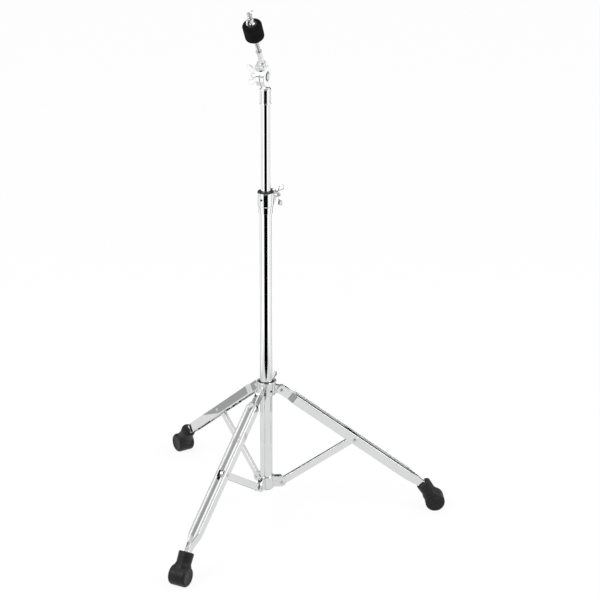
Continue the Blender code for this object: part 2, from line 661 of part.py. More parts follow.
def tilter_bolt():
    """The pivot bolt: a hexagon head in the recess, and a shank out through the wing nut."""
    seat = BASE_DISC_FRONT - HEAD_RECESS_DEPTH + FIT
    head = rod(HEXAGON_RADIUS, seat, seat + HEXAGON_HEIGHT, HEXAGON)
    end = ARM_DISC_BACK - FIT - WING_HUB_HEIGHT - BOLT_TAIL
    shank = rod(BOLT_RADIUS, end, seat + HEXAGON_HEIGHT / 2, COARSE)
    return along_y(joined(head, shank))


def pivot_spring():
    """A short coil round the pivot bolt, which parts the toothed faces when the nut is loose."""
    per_turn = SPRING_STEPS
    radius = (BOLT_RADIUS + SPRING_POCKET_RADIUS) / 2
    low = ARM_DISC_FRONT - SPRING_POCKET_DEPTH + FIT + SPRING_WIRE
    high = TOOTH_FACE + SPRING_POCKET_DEPTH - FIT - SPRING_WIRE
    sections = []
    for step in range(SPRING_TURNS * per_turn + 1):
        share = step / (SPRING_TURNS * per_turn)
        angle = math.tau * SPRING_TURNS * share
        out = Vector((math.cos(angle), math.sin(angle), 0))
        centre = out * radius + Vector((0, 0, low + (high - low) * share))
        section = [centre + out * SPRING_WIRE * math.cos(a) + Vector((0, 0, SPRING_WIRE * math.sin(a)))
                   for a in (math.tau * k / 5 for k in range(5))]
        sections.append(section)
    return along_y(lofted(sections))


def felt(lower_chamfer, upper_chamfer, bore):
    """A felt washer from zero up, with softened edges."""
    profile = [(bore, 0), (FELT_RADIUS - lower_chamfer, 0),
               *arc((FELT_RADIUS - lower_chamfer, lower_chamfer), lower_chamfer, -60, 0, 2),
               *arc((FELT_RADIUS - upper_chamfer, FELT_THICKNESS - upper_chamfer), upper_chamfer, 0, 60, 2),
               (FELT_RADIUS - upper_chamfer, FELT_THICKNESS), (bore, FELT_THICKNESS)]
    return turned(profile, FINE)


def cymbal_sleeve():
    """The nylon sleeve on the rod, which the cymbal's hole and the felts go round."""
    inner = ROD_RADIUS + FIT
    return ring(inner, inner + CYMBAL_SLEEVE_WALL, FELT_BOTTOM, FELT_TOP - 0.001, COARSE)


def seat_nut():
    """The hexagon nut that the cup washer sits on."""
    bore = rod(ROD_RADIUS + FIT, -FIT, SEAT_NUT_HEIGHT + FIT, COARSE)
    return cut(rod(SEAT_NUT_RADIUS, 0, SEAT_NUT_HEIGHT, HEXAGON), bore)


def rod_sleeve():
    """The thick tube round the rod's lower end, with a flange at its top."""
    inner = ROD_RADIUS + FIT
    bottom = SOCKET_TOP + FIT
    return turned([(inner, bottom), (SLEEVE_RADIUS, bottom), (SLEEVE_RADIUS, SLEEVE_TOP - SLEEVE_FLANGE),
                   (SLEEVE_FLANGE_RADIUS, SLEEVE_TOP - SLEEVE_FLANGE), (SLEEVE_FLANGE_RADIUS, SLEEVE_TOP),
                   (inner, SLEEVE_TOP)], COARSE)


def collar_wing_screw():
    """The screw that locks the sliding collar, along +X from the post's axis."""
    seat = COLLAR_BOSS_REACH + FIT
    shank = rod(BOLT_RADIUS, COLLAR_BORE, seat + WING_HUB_HEIGHT * 0.5, COARSE)
    head = moved(wing_nut(COLLAR_WING_SPAN, WING_HEIGHT, 0), Matrix.Translation((0, 0, seat)))
    return along_x(joined(head, shank))


def build_base(post, looks):
    """The standing parts: tube, lower collar and height clamp."""
    piece("base_tube", ring(TUBE_BORE, BASE_TUBE_RADIUS, 0, BASE_TUBE_LENGTH, FINE), looks["chrome"],
          post, (0, 0, BASE_TUBE_BOTTOM))
    plug = TUBE_BORE - FIT
    below = -END_CAP_FLANGE - FIT
    cap = turned([(0, below), (BASE_TUBE_RADIUS, below), (BASE_TUBE_RADIUS, -FIT), (plug, -FIT),
                  (plug, END_CAP_PLUG), (0, END_CAP_PLUG)], FINE, closed=False)
    piece("end_cap", cap, looks["nylon"], post, (0, 0, BASE_TUBE_BOTTOM))
    piece("lower_collar", lower_collar(), looks["chrome"], post, (0, 0, BASE_PIVOT_HEIGHT))
    lower_screw = heading_frame("lower_set_screw_frame", post, LOWER_SET_SCREW_HEADING,
                                BASE_PIVOT_HEIGHT + LOWER_SET_SCREW_RISE)
    piece("lower_set_screw", set_screw(LOWER_RING_RADIUS), looks["steel"], lower_screw)
    inner = STAY_WIDTH / 2 + RUNNING
    stub = along_y(half_rivet(inner, EAR_THICKNESS), (PIVOT_RADIUS, 0, 0))
    mirrored = moved(stub, Matrix.Scale(-1, 4, (0, 1, 0)))
    for leg, heading in LEG_HEADINGS.items():
        ears = heading_frame(f"lower_pivot_{leg}", post, heading, BASE_PIVOT_HEIGHT)
        piece(f"stay_rivet_{leg}_left", stub, looks["steel"], ears)
        piece(f"stay_rivet_{leg}_right", mirrored, looks["steel"], ears)


def build_clamp(post, looks):
    """The height clamp with its liner, bolt and wing nut."""
    clamp = heading_frame("clamp_frame", post, CLAMP_HEADING, CLAMP_TOP)
    piece("height_clamp", height_clamp(), looks["chrome"], clamp)
    piece("clamp_liner", clamp_liner(), looks["nylon"], clamp)
    screw = heading_frame("clamp_set_screw_frame", post, CLAMP_SET_SCREW_HEADING,
                          CLAMP_TOP - CLAMP_SET_SCREW_DROP)
    piece("clamp_set_screw", set_screw(CLAMP_RADIUS), looks["steel"], screw)
    side = CLAMP_SLOT / 2 + CLAMP_EAR_THICKNESS
    axis = frame("clamp_bolt_axis", clamp, (CLAMP_BOLT_REACH, side, -CLAMP_BOLT_DROP), (math.pi / 2, 0, 0))
    piece("clamp_bolt", bolt(2 * side + FIT), looks["steel"], axis)
    nut = wing_nut(WING_SPAN, WING_HEIGHT, BOLT_HOLE)
    piece("clamp_wing_nut", nut, looks["chrome"], axis, (0, 0, 2 * side + FIT), (0, 0, CLAMP_NUT_TURN))


def build_leg(post, leg, heading, shared, looks):
    """One leg with its foot, and the stay that hangs from it."""
    direction = math.radians(heading)
    pivot = (PIVOT_RADIUS * math.cos(direction), PIVOT_RADIUS * math.sin(direction), COLLAR_PIVOT_HEIGHT)
    hinge = frame(f"leg_{leg}_hinge", post, pivot, (0, math.pi / 2 - LEG_ANGLE, direction))
    piece(f"leg_{leg}_strip_left", shared["strip_left"], looks["chrome"], hinge)
    piece(f"leg_{leg}_strip_right", shared["strip_right"], looks["chrome"], hinge)
    piece(f"leg_{leg}_collar_rivet", shared["collar_rivet"], looks["steel"], hinge)
    piece(f"leg_{leg}_stay_rivet", shared["stay_rivet"], looks["steel"], hinge, (LEG_UPPER, 0, 0))
    piece(f"leg_{leg}_spool", shared["spool"], looks["nylon"], hinge, (LEG_UPPER, 0, 0))
    piece(f"leg_{leg}_end_block", shared["end_block"], looks["steel"], hinge, (LEG_LENGTH, 0, 0))
    upright = math.pi / 2 - LEG_ANGLE
    reach = Matrix.Rotation(-upright, 3, "Y") @ (-boot_axis() * BOOT_REACH)
    place = (LEG_LENGTH + reach.x, 0, reach.z)
    piece(f"leg_{leg}_foot", shared["foot"], looks["rubber"], hinge, place, (0, -upright, 0))
    swing = math.pi - upright - (math.pi / 2 - STAY_ANGLE)
    joint = frame(f"stay_{leg}_hinge", hinge, (LEG_UPPER, 0, 0), (0, swing, 0))
    piece(f"stay_{leg}", shared["stay"], looks["chrome"], joint)


def build_tripod(post, looks):
    """The sliding collar with its wing screw, and the three legs."""
    collar = frame("leg_collar_frame", post, (0, 0, COLLAR_PIVOT_HEIGHT))
    piece("leg_collar", leg_collar(), looks["chrome"], collar)
    liner = ring(BASE_TUBE_RADIUS + FIT, COLLAR_LINER_OUTER, -COLLAR_BELOW - COLLAR_LINER_PROUD,
                 COLLAR_ABOVE + COLLAR_LINER_PROUD, FINE)
    piece("collar_liner", liner, looks["nylon"], collar)
    small = heading_frame("collar_set_screw_frame", collar, COLLAR_SET_SCREW_HEADING, COLLAR_SET_SCREW_RISE)
    piece("collar_set_screw", set_screw(COLLAR_RADIUS), looks["steel"], small)
    screw = heading_frame("collar_screw_axis", collar, COLLAR_SCREW_HEADING, COLLAR_SCREW_RISE)
    piece("collar_wing_screw", collar_wing_screw(), looks["chrome"], screw)
    strip = leg_strip()
    half_block = STRIP_TIP - FIT
    shared = {
        "strip_left": strip,
        "strip_right": moved(strip, Matrix.Scale(-1, 4, (0, 1, 0))),
        "collar_rivet": along_y(rivet(NARROW_WEB + FIT)),
        "stay_rivet": along_y(rivet(WIDE_WEB + FIT)),
        "spool": spool(),
        "end_block": block((-END_BLOCK_LENGTH, -half_block, -END_BLOCK_DEPTH / 2),
                           (-FIT, half_block, END_BLOCK_DEPTH / 2)),
        "foot": foot(),
        "stay": stay_bar(),
    }
    for leg, heading in LEG_HEADINGS.items():
        build_leg(post, leg, heading, shared, looks)


def build_mast(post, looks):
    """The upper tube with its guide bush, and the fixed half of the tilter."""
    mast = frame("mast_frame", post, (0, 0, MAST_BOTTOM))
    lip = MAST_RADIUS - MAST_WALL
    piece("mast_tube", ring(lip, MAST_RADIUS, 0, MAST_LENGTH, FINE), looks["chrome"], mast)
    inner = MAST_RADIUS + FIT
    outer = TUBE_BORE - FIT
    below = -FIT - GUIDE_BUSH_LIP
    bush = turned([(lip, below), (outer, below), (outer, GUIDE_BUSH_LENGTH), (inner, GUIDE_BUSH_LENGTH),
                   (inner, -FIT), (lip, -FIT)], FINE)
    piece("guide_bush", bush, looks["nylon"], mast)
    tilter = heading_frame("tilter_frame", post, TILT_HEADING, PIVOT_HEIGHT)
    piece("tilter_base", tilter_base(), looks["chrome"], tilter)
    piece("tilter_bolt", tilter_bolt(), looks["steel"], tilter)
    piece("pivot_spring", pivot_spring(), looks["steel"], tilter)
    nut = wing_nut(WING_SPAN, TILTER_WING_HEIGHT, BOLT_HOLE)
    axis = frame("tilter_nut_axis", tilter, (0, ARM_DISC_BACK - FIT, 0), (math.pi / 2, 0, 0))
    piece("tilter_wing_nut", nut, looks["chrome"], axis, turn=(0, 0, TILTER_NUT_TURN))
    return tilter


def build_arm(tilter, looks):
    """The leaning half of the tilter, with the rod and what it carries."""
    arm = frame("tilter_arm_hinge", tilter, turn=(0, TILT_ANGLE, 0))
    piece("tilter_arm", tilter_arm(), looks["chrome"], arm)
    top = [(ROD_RADIUS, ROD_TOP - ROD_CHAMFER), (ROD_RADIUS - ROD_CHAMFER, ROD_TOP), (0, ROD_TOP)]
    start = SOCKET_FLOOR + FIT
    shaft = turned([(0, start), (ROD_RADIUS, start), *top], COARSE, closed=False)
    piece("cymbal_rod", shaft, looks["steel"], arm)
    piece("rod_sleeve", rod_sleeve(), looks["chrome"], arm)
    piece("seat_nut", seat_nut(), looks["steel"], arm, (0, 0, SEAT_NUT_BOTTOM))
    washer = ring(ROD_RADIUS + FIT, CUP_WASHER_RADIUS, 0, CUP_WASHER_THICKNESS, MEDIUM)
    piece("cup_washer", washer, looks["black_steel"], arm, (0, 0, CUP_WASHER_BOTTOM))
    piece("cymbal_sleeve", cymbal_sleeve(), looks["nylon"], arm)
    bore = ROD_RADIUS + CYMBAL_SLEEVE_WALL + 2 * FIT
    lower = felt(FELT_LOWER_CHAMFER, FELT_SEAM_CHAMFER, bore)
    upper = felt(FELT_SEAM_CHAMFER, FELT_UPPER_CHAMFER, bore)
    piece("lower_felt", lower, looks["felt"], arm, (0, 0, FELT_BOTTOM))
    piece("upper_felt", upper, looks["felt"], arm, (0, 0, FELT_BOTTOM + FELT_THICKNESS + FIT))
    small = ring(ROD_RADIUS + FIT, NUT_WASHER_RADIUS, 0, NUT_WASHER_THICKNESS, MEDIUM)
    piece("nut_washer", small, looks["steel"], arm, (0, 0, WASHER_BOTTOM))
    nut = wing_nut(TOP_WING_SPAN, TOP_WING_HEIGHT, ROD_RADIUS + FIT)
    piece("top_wing_nut", nut, looks["chrome"], arm, (0, 0, TOP_NUT_BOTTOM))


def stand_on_origin(post):
    """Move the stand so that its bounding box stands on the world origin, at the box's middle."""
    bpy.context.view_layer.update()
    points = []
    for obj in bpy.data.objects:
        if obj.type == "MESH":
            points.extend(obj.matrix_world @ vertex.co for vertex in obj.data.vertices)
    for axis in range(3):
        values = [point[axis] for point in points]
        post.location[axis] -= min(values) if axis == 2 else (min(values) + max(values)) / 2


def main():
    """Build the whole stand."""
    clear_scene()
    looks = {
        "chrome": material("chrome", (0.80, 0.80, 0.81), 0.08, 1.0),
        "steel": material("zinc_steel", (0.66, 0.66, 0.67), 0.25, 1.0),
        "black_steel": material("black_steel", (0.03, 0.03, 0.03), 0.45, 0.8),
        "nylon": material("black_nylon", (0.02, 0.02, 0.02), 0.45, 0.0),
        "rubber": material("black_rubber", (0.018, 0.018, 0.018), 0.7, 0.0),
        "felt": material("black_felt", (0.012, 0.012, 0.012), 1.0, 0.0),
    }
    post = frame("stand")
    build_base(post, looks)
    build_clamp(post, looks)
    build_tripod(post, looks)
    tilter = build_mast(post, looks)
    build_arm(tilter, looks)
    stand_on_origin(post)
    bpy.context.view_layer.update()


main()
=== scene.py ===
# %% [markdown]
# The finish of a cymbal stand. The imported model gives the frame: where each piece sits, what it
# turns on and how far it reaches. This script dresses that frame. Chrome shows every facet, so the
# chromed pieces are modelled again with fine round sides and rolled edges, in the same places.

# %% Load the frame
import json
import math

import bmesh
import bpy
from mathutils import Matrix, Vector, noise


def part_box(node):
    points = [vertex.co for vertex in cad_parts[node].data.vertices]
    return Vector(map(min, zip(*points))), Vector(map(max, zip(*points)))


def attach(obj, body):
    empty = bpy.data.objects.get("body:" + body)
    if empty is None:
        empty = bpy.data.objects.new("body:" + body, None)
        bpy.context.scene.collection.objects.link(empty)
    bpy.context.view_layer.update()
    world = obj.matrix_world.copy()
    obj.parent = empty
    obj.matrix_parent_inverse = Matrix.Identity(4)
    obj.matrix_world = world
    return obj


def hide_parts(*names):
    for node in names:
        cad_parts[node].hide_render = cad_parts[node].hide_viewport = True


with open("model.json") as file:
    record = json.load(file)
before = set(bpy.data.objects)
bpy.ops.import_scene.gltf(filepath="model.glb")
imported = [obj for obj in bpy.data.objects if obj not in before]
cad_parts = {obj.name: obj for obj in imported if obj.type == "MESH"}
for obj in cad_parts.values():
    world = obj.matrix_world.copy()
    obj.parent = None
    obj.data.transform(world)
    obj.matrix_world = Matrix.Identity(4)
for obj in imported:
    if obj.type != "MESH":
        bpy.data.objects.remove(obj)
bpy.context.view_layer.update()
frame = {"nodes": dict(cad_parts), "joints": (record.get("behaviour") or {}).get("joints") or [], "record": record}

joints = {joint["name"]: joint for joint in frame["joints"]}
mounts = {mount["name"]: mount for mount in frame["record"]["mounts"]}
LEGS = ("a", "b", "c")

# %% [markdown]
# Each group of pieces has a frame of its own, as on a drawing: the post, a leg, a stay, a foot, the
# clamp and the two halves of the tilter. They are read from the joints, so a piece that is drawn in
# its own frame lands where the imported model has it.

# %% Frames of the pieces
UP = Vector((0, 0, 1))
FIT = 0.0003


def basis(origin, x, y):
    """A frame as a matrix, from its origin, its X axis and its Y axis."""
    x = Vector(x).normalized()
    y = Vector(y).normalized()
    return Matrix.Translation(origin) @ Matrix((x, y, x.cross(y))).transposed().to_4x4()


def middle(node):
    """The middle of a node's box."""
    low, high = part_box(node)
    return (low + high) / 2


POST = middle("base_tube")
TUBE_LOW, TUBE_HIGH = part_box("base_tube")
MAST_LOW, MAST_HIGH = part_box("mast_tube")
TUBE_RADIUS = (TUBE_HIGH.x - TUBE_LOW.x) / 2
MAST_RADIUS = 0.009525
COLLAR_HEIGHT = joints["leg_b_fold"]["pos_m"][2]
LOWER_HEIGHT = middle("stay_rivet_b_left").z
CLAMP_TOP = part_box("height_clamp")[1].z


def post_frame(height, heading=0.0):
    """A frame on the post's axis, with X along a heading in degrees."""
    turn = Matrix.Rotation(math.radians(heading), 4, "Z")
    return Matrix.Translation((POST.x, POST.y, height)) @ turn


def away_from_post(leg):
    """The leg's level direction away from the post."""
    sole = Vector(mounts[f"foot_{leg}_sole"]["pos_m"])
    return Vector((sole.x - POST.x, sole.y - POST.y, 0)).normalized()


def heading_of(leg):
    """The leg's heading about the post, in degrees."""
    away = away_from_post(leg)
    return math.degrees(math.atan2(away.y, away.x))


def leg_frame(leg):
    """X along the leg, Y across it, Z above it, at its hinge."""
    hinge = Vector(joints[f"leg_{leg}_fold"]["pos_m"])
    stay = Vector(joints[f"stay_{leg}_fold"]["pos_m"])
    return basis(hinge, stay - hinge, UP.cross(away_from_post(leg)))


def stay_frame(leg):
    """X along the stay to its inner eye, Y across it, Z under it, at its outer eye."""
    stay = Vector(joints[f"stay_{leg}_fold"]["pos_m"])
    eye = (middle(f"stay_rivet_{leg}_left") + middle(f"stay_rivet_{leg}_right")) / 2
    return basis(stay, eye - stay, UP.cross(away_from_post(leg)))


def foot_frame(leg):
    """X away from the post, Y along the foot's barrel, Z up, at the barrel's middle."""
    away = away_from_post(leg)
    sole = Vector(mounts[f"foot_{leg}_sole"]["pos_m"])
    return basis(sole + UP * FOOT_AXIS_HEIGHT, away, UP.cross(away))


FOOT_RADIUS = 0.020
FOOT_AXIS_HEIGHT = 0.0185
PIVOT = Vector(joints["tilter_tilt"]["pos_m"])
PIVOT_AXIS = Vector(joints["tilter_tilt"]["axis"])
ROD_AXIS = Vector(joints["washer_slide"]["axis"])
TILTER = basis(PIVOT, PIVOT_AXIS.cross(UP), PIVOT_AXIS)
ARM = basis(PIVOT, PIVOT_AXIS.cross(ROD_AXIS), PIVOT_AXIS)
NUT_AXIS = Vector(joints["clamp_nut_turn"]["axis"])
CLAMP = basis((POST.x, POST.y, CLAMP_TOP), UP.cross(NUT_AXIS), -NUT_AXIS)
CLAMP_HEADING = math.degrees(math.atan2(NUT_AXIS.x, -NUT_AXIS.y))
print("post at", tuple(round(v, 4) for v in POST), "tilter pivot", tuple(round(v, 4) for v in PIVOT))

# %% [markdown]
# Camera. The photograph is a studio picture from a little to the left of one leg, from above the
# stand, with a long lens. The camera stands 3.5 m from the post.

# %% Camera
CAMERA_DISTANCE = 3.5
CAMERA_HEIGHT = 1.798
CAMERA_AZIMUTH = -1.74
CAMERA_PITCH = 0.3649
CAMERA_YAW = 0.0191
CAMERA_ROLL = 0.0043
FOCAL_PIXELS = 1908
IMAGE_WIDTH = 600


def make_camera():
    """Set the photograph's view."""
    data = bpy.data.cameras.new("photo_view")
    data.sensor_width = 36
    data.lens = FOCAL_PIXELS / IMAGE_WIDTH * data.sensor_width
    data.clip_end = 100
    camera = bpy.data.objects.new("photo_view", data)
    away = Matrix.Rotation(math.radians(CAMERA_AZIMUTH), 3, "Z") @ Vector((0, -CAMERA_DISTANCE, 0))
    camera.location = (POST.x + away.x, POST.y + away.y, CAMERA_HEIGHT)
    heading = math.radians(CAMERA_AZIMUTH) - CAMERA_YAW
    turn = Matrix.Rotation(heading, 4, "Z") @ Matrix.Rotation(math.pi / 2 - CAMERA_PITCH, 4, "X")
    camera.rotation_euler = (turn @ Matrix.Rotation(CAMERA_ROLL, 4, "Z")).to_euler()
    bpy.context.scene.collection.objects.link(camera)
    bpy.context.scene.camera = camera
    bpy.context.scene.view_settings.view_transform = "Standard"
    print("camera at", tuple(round(v, 3) for v in camera.location), "lens", round(data.lens, 1))


make_camera()

# %% [markdown]
# Shader groups. Two effects serve every finish: a soft mottle, which moves a value between two
# limits as fingerprints and polish do, and fine dust that settles on what faces up. A group gives
# out only a value or a colour; the Principled shader stays in each material.

# %% Shader groups


def new_group(name, inputs, outputs):
    """An empty shader group with named sockets."""
    group = bpy.data.node_groups.new(name, "ShaderNodeTree")
    for label, kind, default in inputs:
        socket = group.interface.new_socket(name=label, in_out="INPUT", socket_type=kind)
        socket.default_value = default
    for label, kind in outputs:
        group.interface.new_socket(name=label, in_out="OUTPUT", socket_type=kind)
    return group, group.nodes.new("NodeGroupInput"), group.nodes.new("NodeGroupOutput")


def mottle_group():
    """Noise in Object coordinates, spread between two limits."""
    number = "NodeSocketFloat"
    group, given, result = new_group(
        "mottle",
        [("Scale", number, 40.0), ("Stretch", "NodeSocketVector", (1.0, 1.0, 1.0)), ("Detail", number, 4.0),
         ("Low", number, 0.0), ("High", number, 1.0)],
        [("Value", number)])
    place = group.nodes.new("ShaderNodeTexCoord")
    stretch = group.nodes.new("ShaderNodeVectorMath")
    stretch.operation = "MULTIPLY"
    pattern = group.nodes.new("ShaderNodeTexNoise")
    spread = group.nodes.new("ShaderNodeMapRange")
    spread.inputs["From Min"].default_value = 0.32
    spread.inputs["From Max"].default_value = 0.68
    link = group.links.new
    link(place.outputs["Object"], stretch.inputs[0])
    link(given.outputs["Stretch"], stretch.inputs[1])
    link(stretch.outputs["Vector"], pattern.inputs["Vector"])
    link(given.outputs["Scale"], pattern.inputs["Scale"])
    link(given.outputs["Detail"], pattern.inputs["Detail"])
    link(pattern.outputs["Fac"], spread.inputs["Value"])
    link(given.outputs["Low"], spread.inputs["To Min"])
    link(given.outputs["High"], spread.inputs["To Max"])
    link(spread.outputs["Result"], result.inputs["Value"])
    return group


def dust_group():
    """A colour with a second colour laid over what faces up, in patches."""
    group, given, result = new_group(
        "dust",
        [("Color", "NodeSocketColor", (0, 0, 0, 1)), ("Dust", "NodeSocketColor", (0.3, 0.29, 0.27, 1)),
         ("Amount", "NodeSocketFloat", 0.2), ("Scale", "NodeSocketFloat", 90.0)],
        [("Color", "NodeSocketColor")])
    shape = group.nodes.new("ShaderNodeNewGeometry")
    split = group.nodes.new("ShaderNodeSeparateXYZ")
    place = group.nodes.new("ShaderNodeTexCoord")
    pattern = group.nodes.new("ShaderNodeTexNoise")
    upward = group.nodes.new("ShaderNodeMapRange")
    upward.inputs["From Min"].default_value = 0.1
    patches = group.nodes.new("ShaderNodeMath")
    patches.operation = "MULTIPLY"
    amount = group.nodes.new("ShaderNodeMath")
    amount.operation = "MULTIPLY"
    mix = group.nodes.new("ShaderNodeMix")
    mix.data_type = "RGBA"
    link = group.links.new
    link(shape.outputs["Normal"], split.inputs[0])
    link(split.outputs["Z"], upward.inputs["Value"])
    link(place.outputs["Object"], pattern.inputs["Vector"])
    link(given.outputs["Scale"], pattern.inputs["Scale"])
    link(upward.outputs["Result"], patches.inputs[0])
    link(pattern.outputs["Fac"], patches.inputs[1])
    link(patches.outputs["Value"], amount.inputs[0])
    link(given.outputs["Amount"], amount.inputs[1])
    link(amount.outputs["Value"], mix.inputs["Factor"])
    link(given.outputs["Color"], mix.inputs["A"])
    link(given.outputs["Dust"], mix.inputs["B"])
    link(mix.outputs["Result"], result.inputs["Color"])
    return group


MOTTLE = mottle_group()
DUST = dust_group()
print("groups", MOTTLE.name, DUST.name)

# %% [markdown]
# Finishes. Each real surface has its own: bright chrome plate on tube, a slightly wavy chrome on
# castings, zinc plate on fasteners, black nylon, black moulded rubber and pressed black felt.

# %% Finishes


def shaded(name, constants):
    """A material with its Principled shader's constants set on the shader's own sockets."""
    material = bpy.data.materials.new(name)
    material.use_nodes = True
    shader = material.node_tree.nodes["Principled BSDF"]
    for label, value in constants.items():
        shader.inputs[label].default_value = value
    return material, shader


def mottled(material, target, scale, low, high, stretch=(1, 1, 1), detail=4.0):
    """Feed a socket from the mottle group."""
    node = material.node_tree.nodes.new("ShaderNodeGroup")
    node.node_tree = MOTTLE
    node.inputs["Scale"].default_value = scale
    node.inputs["Stretch"].default_value = stretch
    node.inputs["Detail"].default_value = detail
    node.inputs["Low"].default_value = low
    node.inputs["High"].default_value = high
    material.node_tree.links.new(node.outputs["Value"], target)
    return node


def bumped(material, shader, scale, height, stretch=(1, 1, 1), detail=4.0):
    """Give the shader a bump from the mottle group, with its height in metres."""
    bump = material.node_tree.nodes.new("ShaderNodeBump")
    bump.inputs["Distance"].default_value = height
    mottled(material, bump.inputs["Height"], scale, 0.0, 1.0, stretch, detail)
    material.node_tree.links.new(bump.outputs["Normal"], shader.inputs["Normal"])


def coloured(material, shader, dark, light, scale, stretch=(1, 1, 1)):
    """A base colour that wanders between two colours."""
    mix = material.node_tree.nodes.new("ShaderNodeMix")
    mix.data_type = "RGBA"
    mix.inputs["A"].default_value = (*dark, 1)
    mix.inputs["B"].default_value = (*light, 1)
    mottled(material, mix.inputs["Factor"], scale, 0.0, 1.0, stretch)
    material.node_tree.links.new(mix.outputs["Result"], shader.inputs["Base Color"])
    return mix


def dusted(material, shader, mix, amount, scale):
    """Lay dust over a wandering base colour."""
    node = material.node_tree.nodes.new("ShaderNodeGroup")
    node.node_tree = DUST
    node.inputs["Amount"].default_value = amount
    node.inputs["Scale"].default_value = scale
    material.node_tree.links.new(mix.outputs["Result"], node.inputs["Color"])
    material.node_tree.links.new(node.outputs["Color"], shader.inputs["Base Color"])


def tube_chrome():
    """Bright plate on drawn tube and rolled strip: faint smears and hair scratches along the piece."""
    material, shader = shaded("tube_chrome", {"Metallic": 1.0})
    coloured(material, shader, (0.84, 0.845, 0.85), (0.89, 0.892, 0.895), 30)
    mottled(material, shader.inputs["Roughness"], 55, 0.02, 0.06, (1, 1, 0.25), 6.0)
    bumped(material, shader, 900, 0.0000006, (1, 1, 0.05))
    return material


def cast_chrome():
    """Plate over a die casting: wavier, with a skin like orange peel."""
    material, shader = shaded("cast_chrome", {"Metallic": 1.0})
    coloured(material, shader, (0.78, 0.785, 0.795), (0.87, 0.87, 0.875), 80)
    mottled(material, shader.inputs["Roughness"], 140, 0.05, 0.14, detail=6.0)
    bumped(material, shader, 260, 0.00001)
    return material


def zinc_steel():
    """Zinc plate on fasteners: duller, with a warm and cool drift."""
    material, shader = shaded("zinc_steel", {"Metallic": 1.0})
    coloured(material, shader, (0.60, 0.61, 0.63), (0.70, 0.69, 0.66), 150)
    mottled(material, shader.inputs["Roughness"], 300, 0.18, 0.36)
    bumped(material, shader, 1400, 0.000015)
    return material


def black_steel():
    """Black satin paint on a pressed washer."""
    material, shader = shaded("black_steel", {"Coat Weight": 0.2})
    coloured(material, shader, (0.018, 0.018, 0.019), (0.035, 0.035, 0.036), 200)
    mottled(material, shader.inputs["Roughness"], 220, 0.30, 0.48)
    bumped(material, shader, 700, 0.00002)
    return material


def nylon():
    """Moulded black nylon with a faint flow grain."""
    material, shader = shaded("black_nylon", {"Specular IOR Level": 0.32})
    coloured(material, shader, (0.008, 0.008, 0.009), (0.018, 0.018, 0.019), 120)
    mottled(material, shader.inputs["Roughness"], 160, 0.34, 0.52)
    bumped(material, shader, 600, 0.00002, (1, 1, 0.4))
    return material


def rubber():
    """Moulded rubber: matt, pebbled, greyer where it is rubbed and dusty on top."""
    material, shader = shaded("black_rubber", {"Specular IOR Level": 0.30})
    mix = coloured(material, shader, (0.004, 0.004, 0.004), (0.014, 0.014, 0.014), 70)
    dusted(material, shader, mix, 0.05, 160)
    mottled(material, shader.inputs["Roughness"], 110, 0.34, 0.50)
    bumped(material, shader, 700, 0.00005, detail=6.0)
    return material


def felt():
    """Pressed wool: near black, with fine fibres that catch the light at the edge."""
    material, shader = shaded("black_felt", {"Sheen Weight": 0.03, "Sheen Roughness": 0.6,
                                               "Specular IOR Level": 0.05})
    mix = coloured(material, shader, (0.002, 0.002, 0.002), (0.008, 0.008, 0.0078), 420)
    dusted(material, shader, mix, 0.012, 500)
    mottled(material, shader.inputs["Roughness"], 300, 0.88, 1.0)
    bumped(material, shader, 1500, 0.00035, detail=8.0)
    return material


FINISHES = {
    "chrome": tube_chrome(), "cast": cast_chrome(), "zinc_steel": zinc_steel(), "black_steel": black_steel(),
    "black_nylon": nylon(), "black_rubber": rubber(), "black_felt": felt(),
}
print("finishes", sorted(FINISHES))

# %% [markdown]
# Modelling helpers. A lathe spins a profile, a slab extrudes an outline and rolls its rims, and two
# Boolean helpers join and cut. Corners are rounded before the pieces meet, because a highlight runs
# along a rolled edge and dies at a sharp one.

# %% Modelling helpers
ROUND = 96
SMALL_ROUND = 48


def softened(points, radius, closed=True, steps=3):
    """Round the corners of an outline. An open one keeps its two ends."""
    points = [Vector(p) for p in points]
    made = []
    for index, corner in enumerate(points):
        if not closed and index in (0, len(points) - 1):
            made.append(tuple(corner))
            continue
        before = points[index - 1] - corner
        after = points[(index + 1) % len(points)] - corner
        reach = min(radius, before.length * 0.45, after.length * 0.45)
        start = corner + before.normalized() * reach
        end = corner + after.normalized() * reach
        for step in range(steps + 1):
            t = step / steps
            made.append(tuple(start * (1 - t) ** 2 + corner * 2 * t * (1 - t) + end * t ** 2))
    return made


def arc(centre, radius, start, end, steps):
    """Points on an arc, with its angles in degrees."""
    angles = [math.radians(start + (end - start) * i / steps) for i in range(steps + 1)]
    return [(centre[0] + radius * math.cos(a), centre[1] + radius * math.sin(a)) for a in angles]


def finished(bm, name="piece", angle=32):
    """A mesh with outward faces and smooth sides, sharp at its real edges."""
    bmesh.ops.remove_doubles(bm, verts=bm.verts, dist=1e-7)
    bmesh.ops.recalc_face_normals(bm, faces=bm.faces)
    mesh = bpy.data.meshes.new(name)
    bm.to_mesh(mesh)
    bm.free()
    mesh.shade_smooth()
    mesh.set_sharp_from_angle(angle=math.radians(angle))
    return mesh


def lathe(profile, steps=ROUND, closed=True):
    """Spin a profile of (radius, height) points about Z. An open one starts and ends on the axis."""
    bm = bmesh.new()
    verts = [bm.verts.new((r, 0, z)) for r, z in profile]
    ends = verts[1:] + verts[:1] if closed else verts[1:]
    edges = [bm.edges.new(pair) for pair in zip(verts, ends)]
    bmesh.ops.spin(bm, geom=verts + edges, cent=(0, 0, 0), axis=(0, 0, 1), angle=math.tau,
                   steps=steps, use_merge=True, use_duplicate=False)
    return finished(bm)


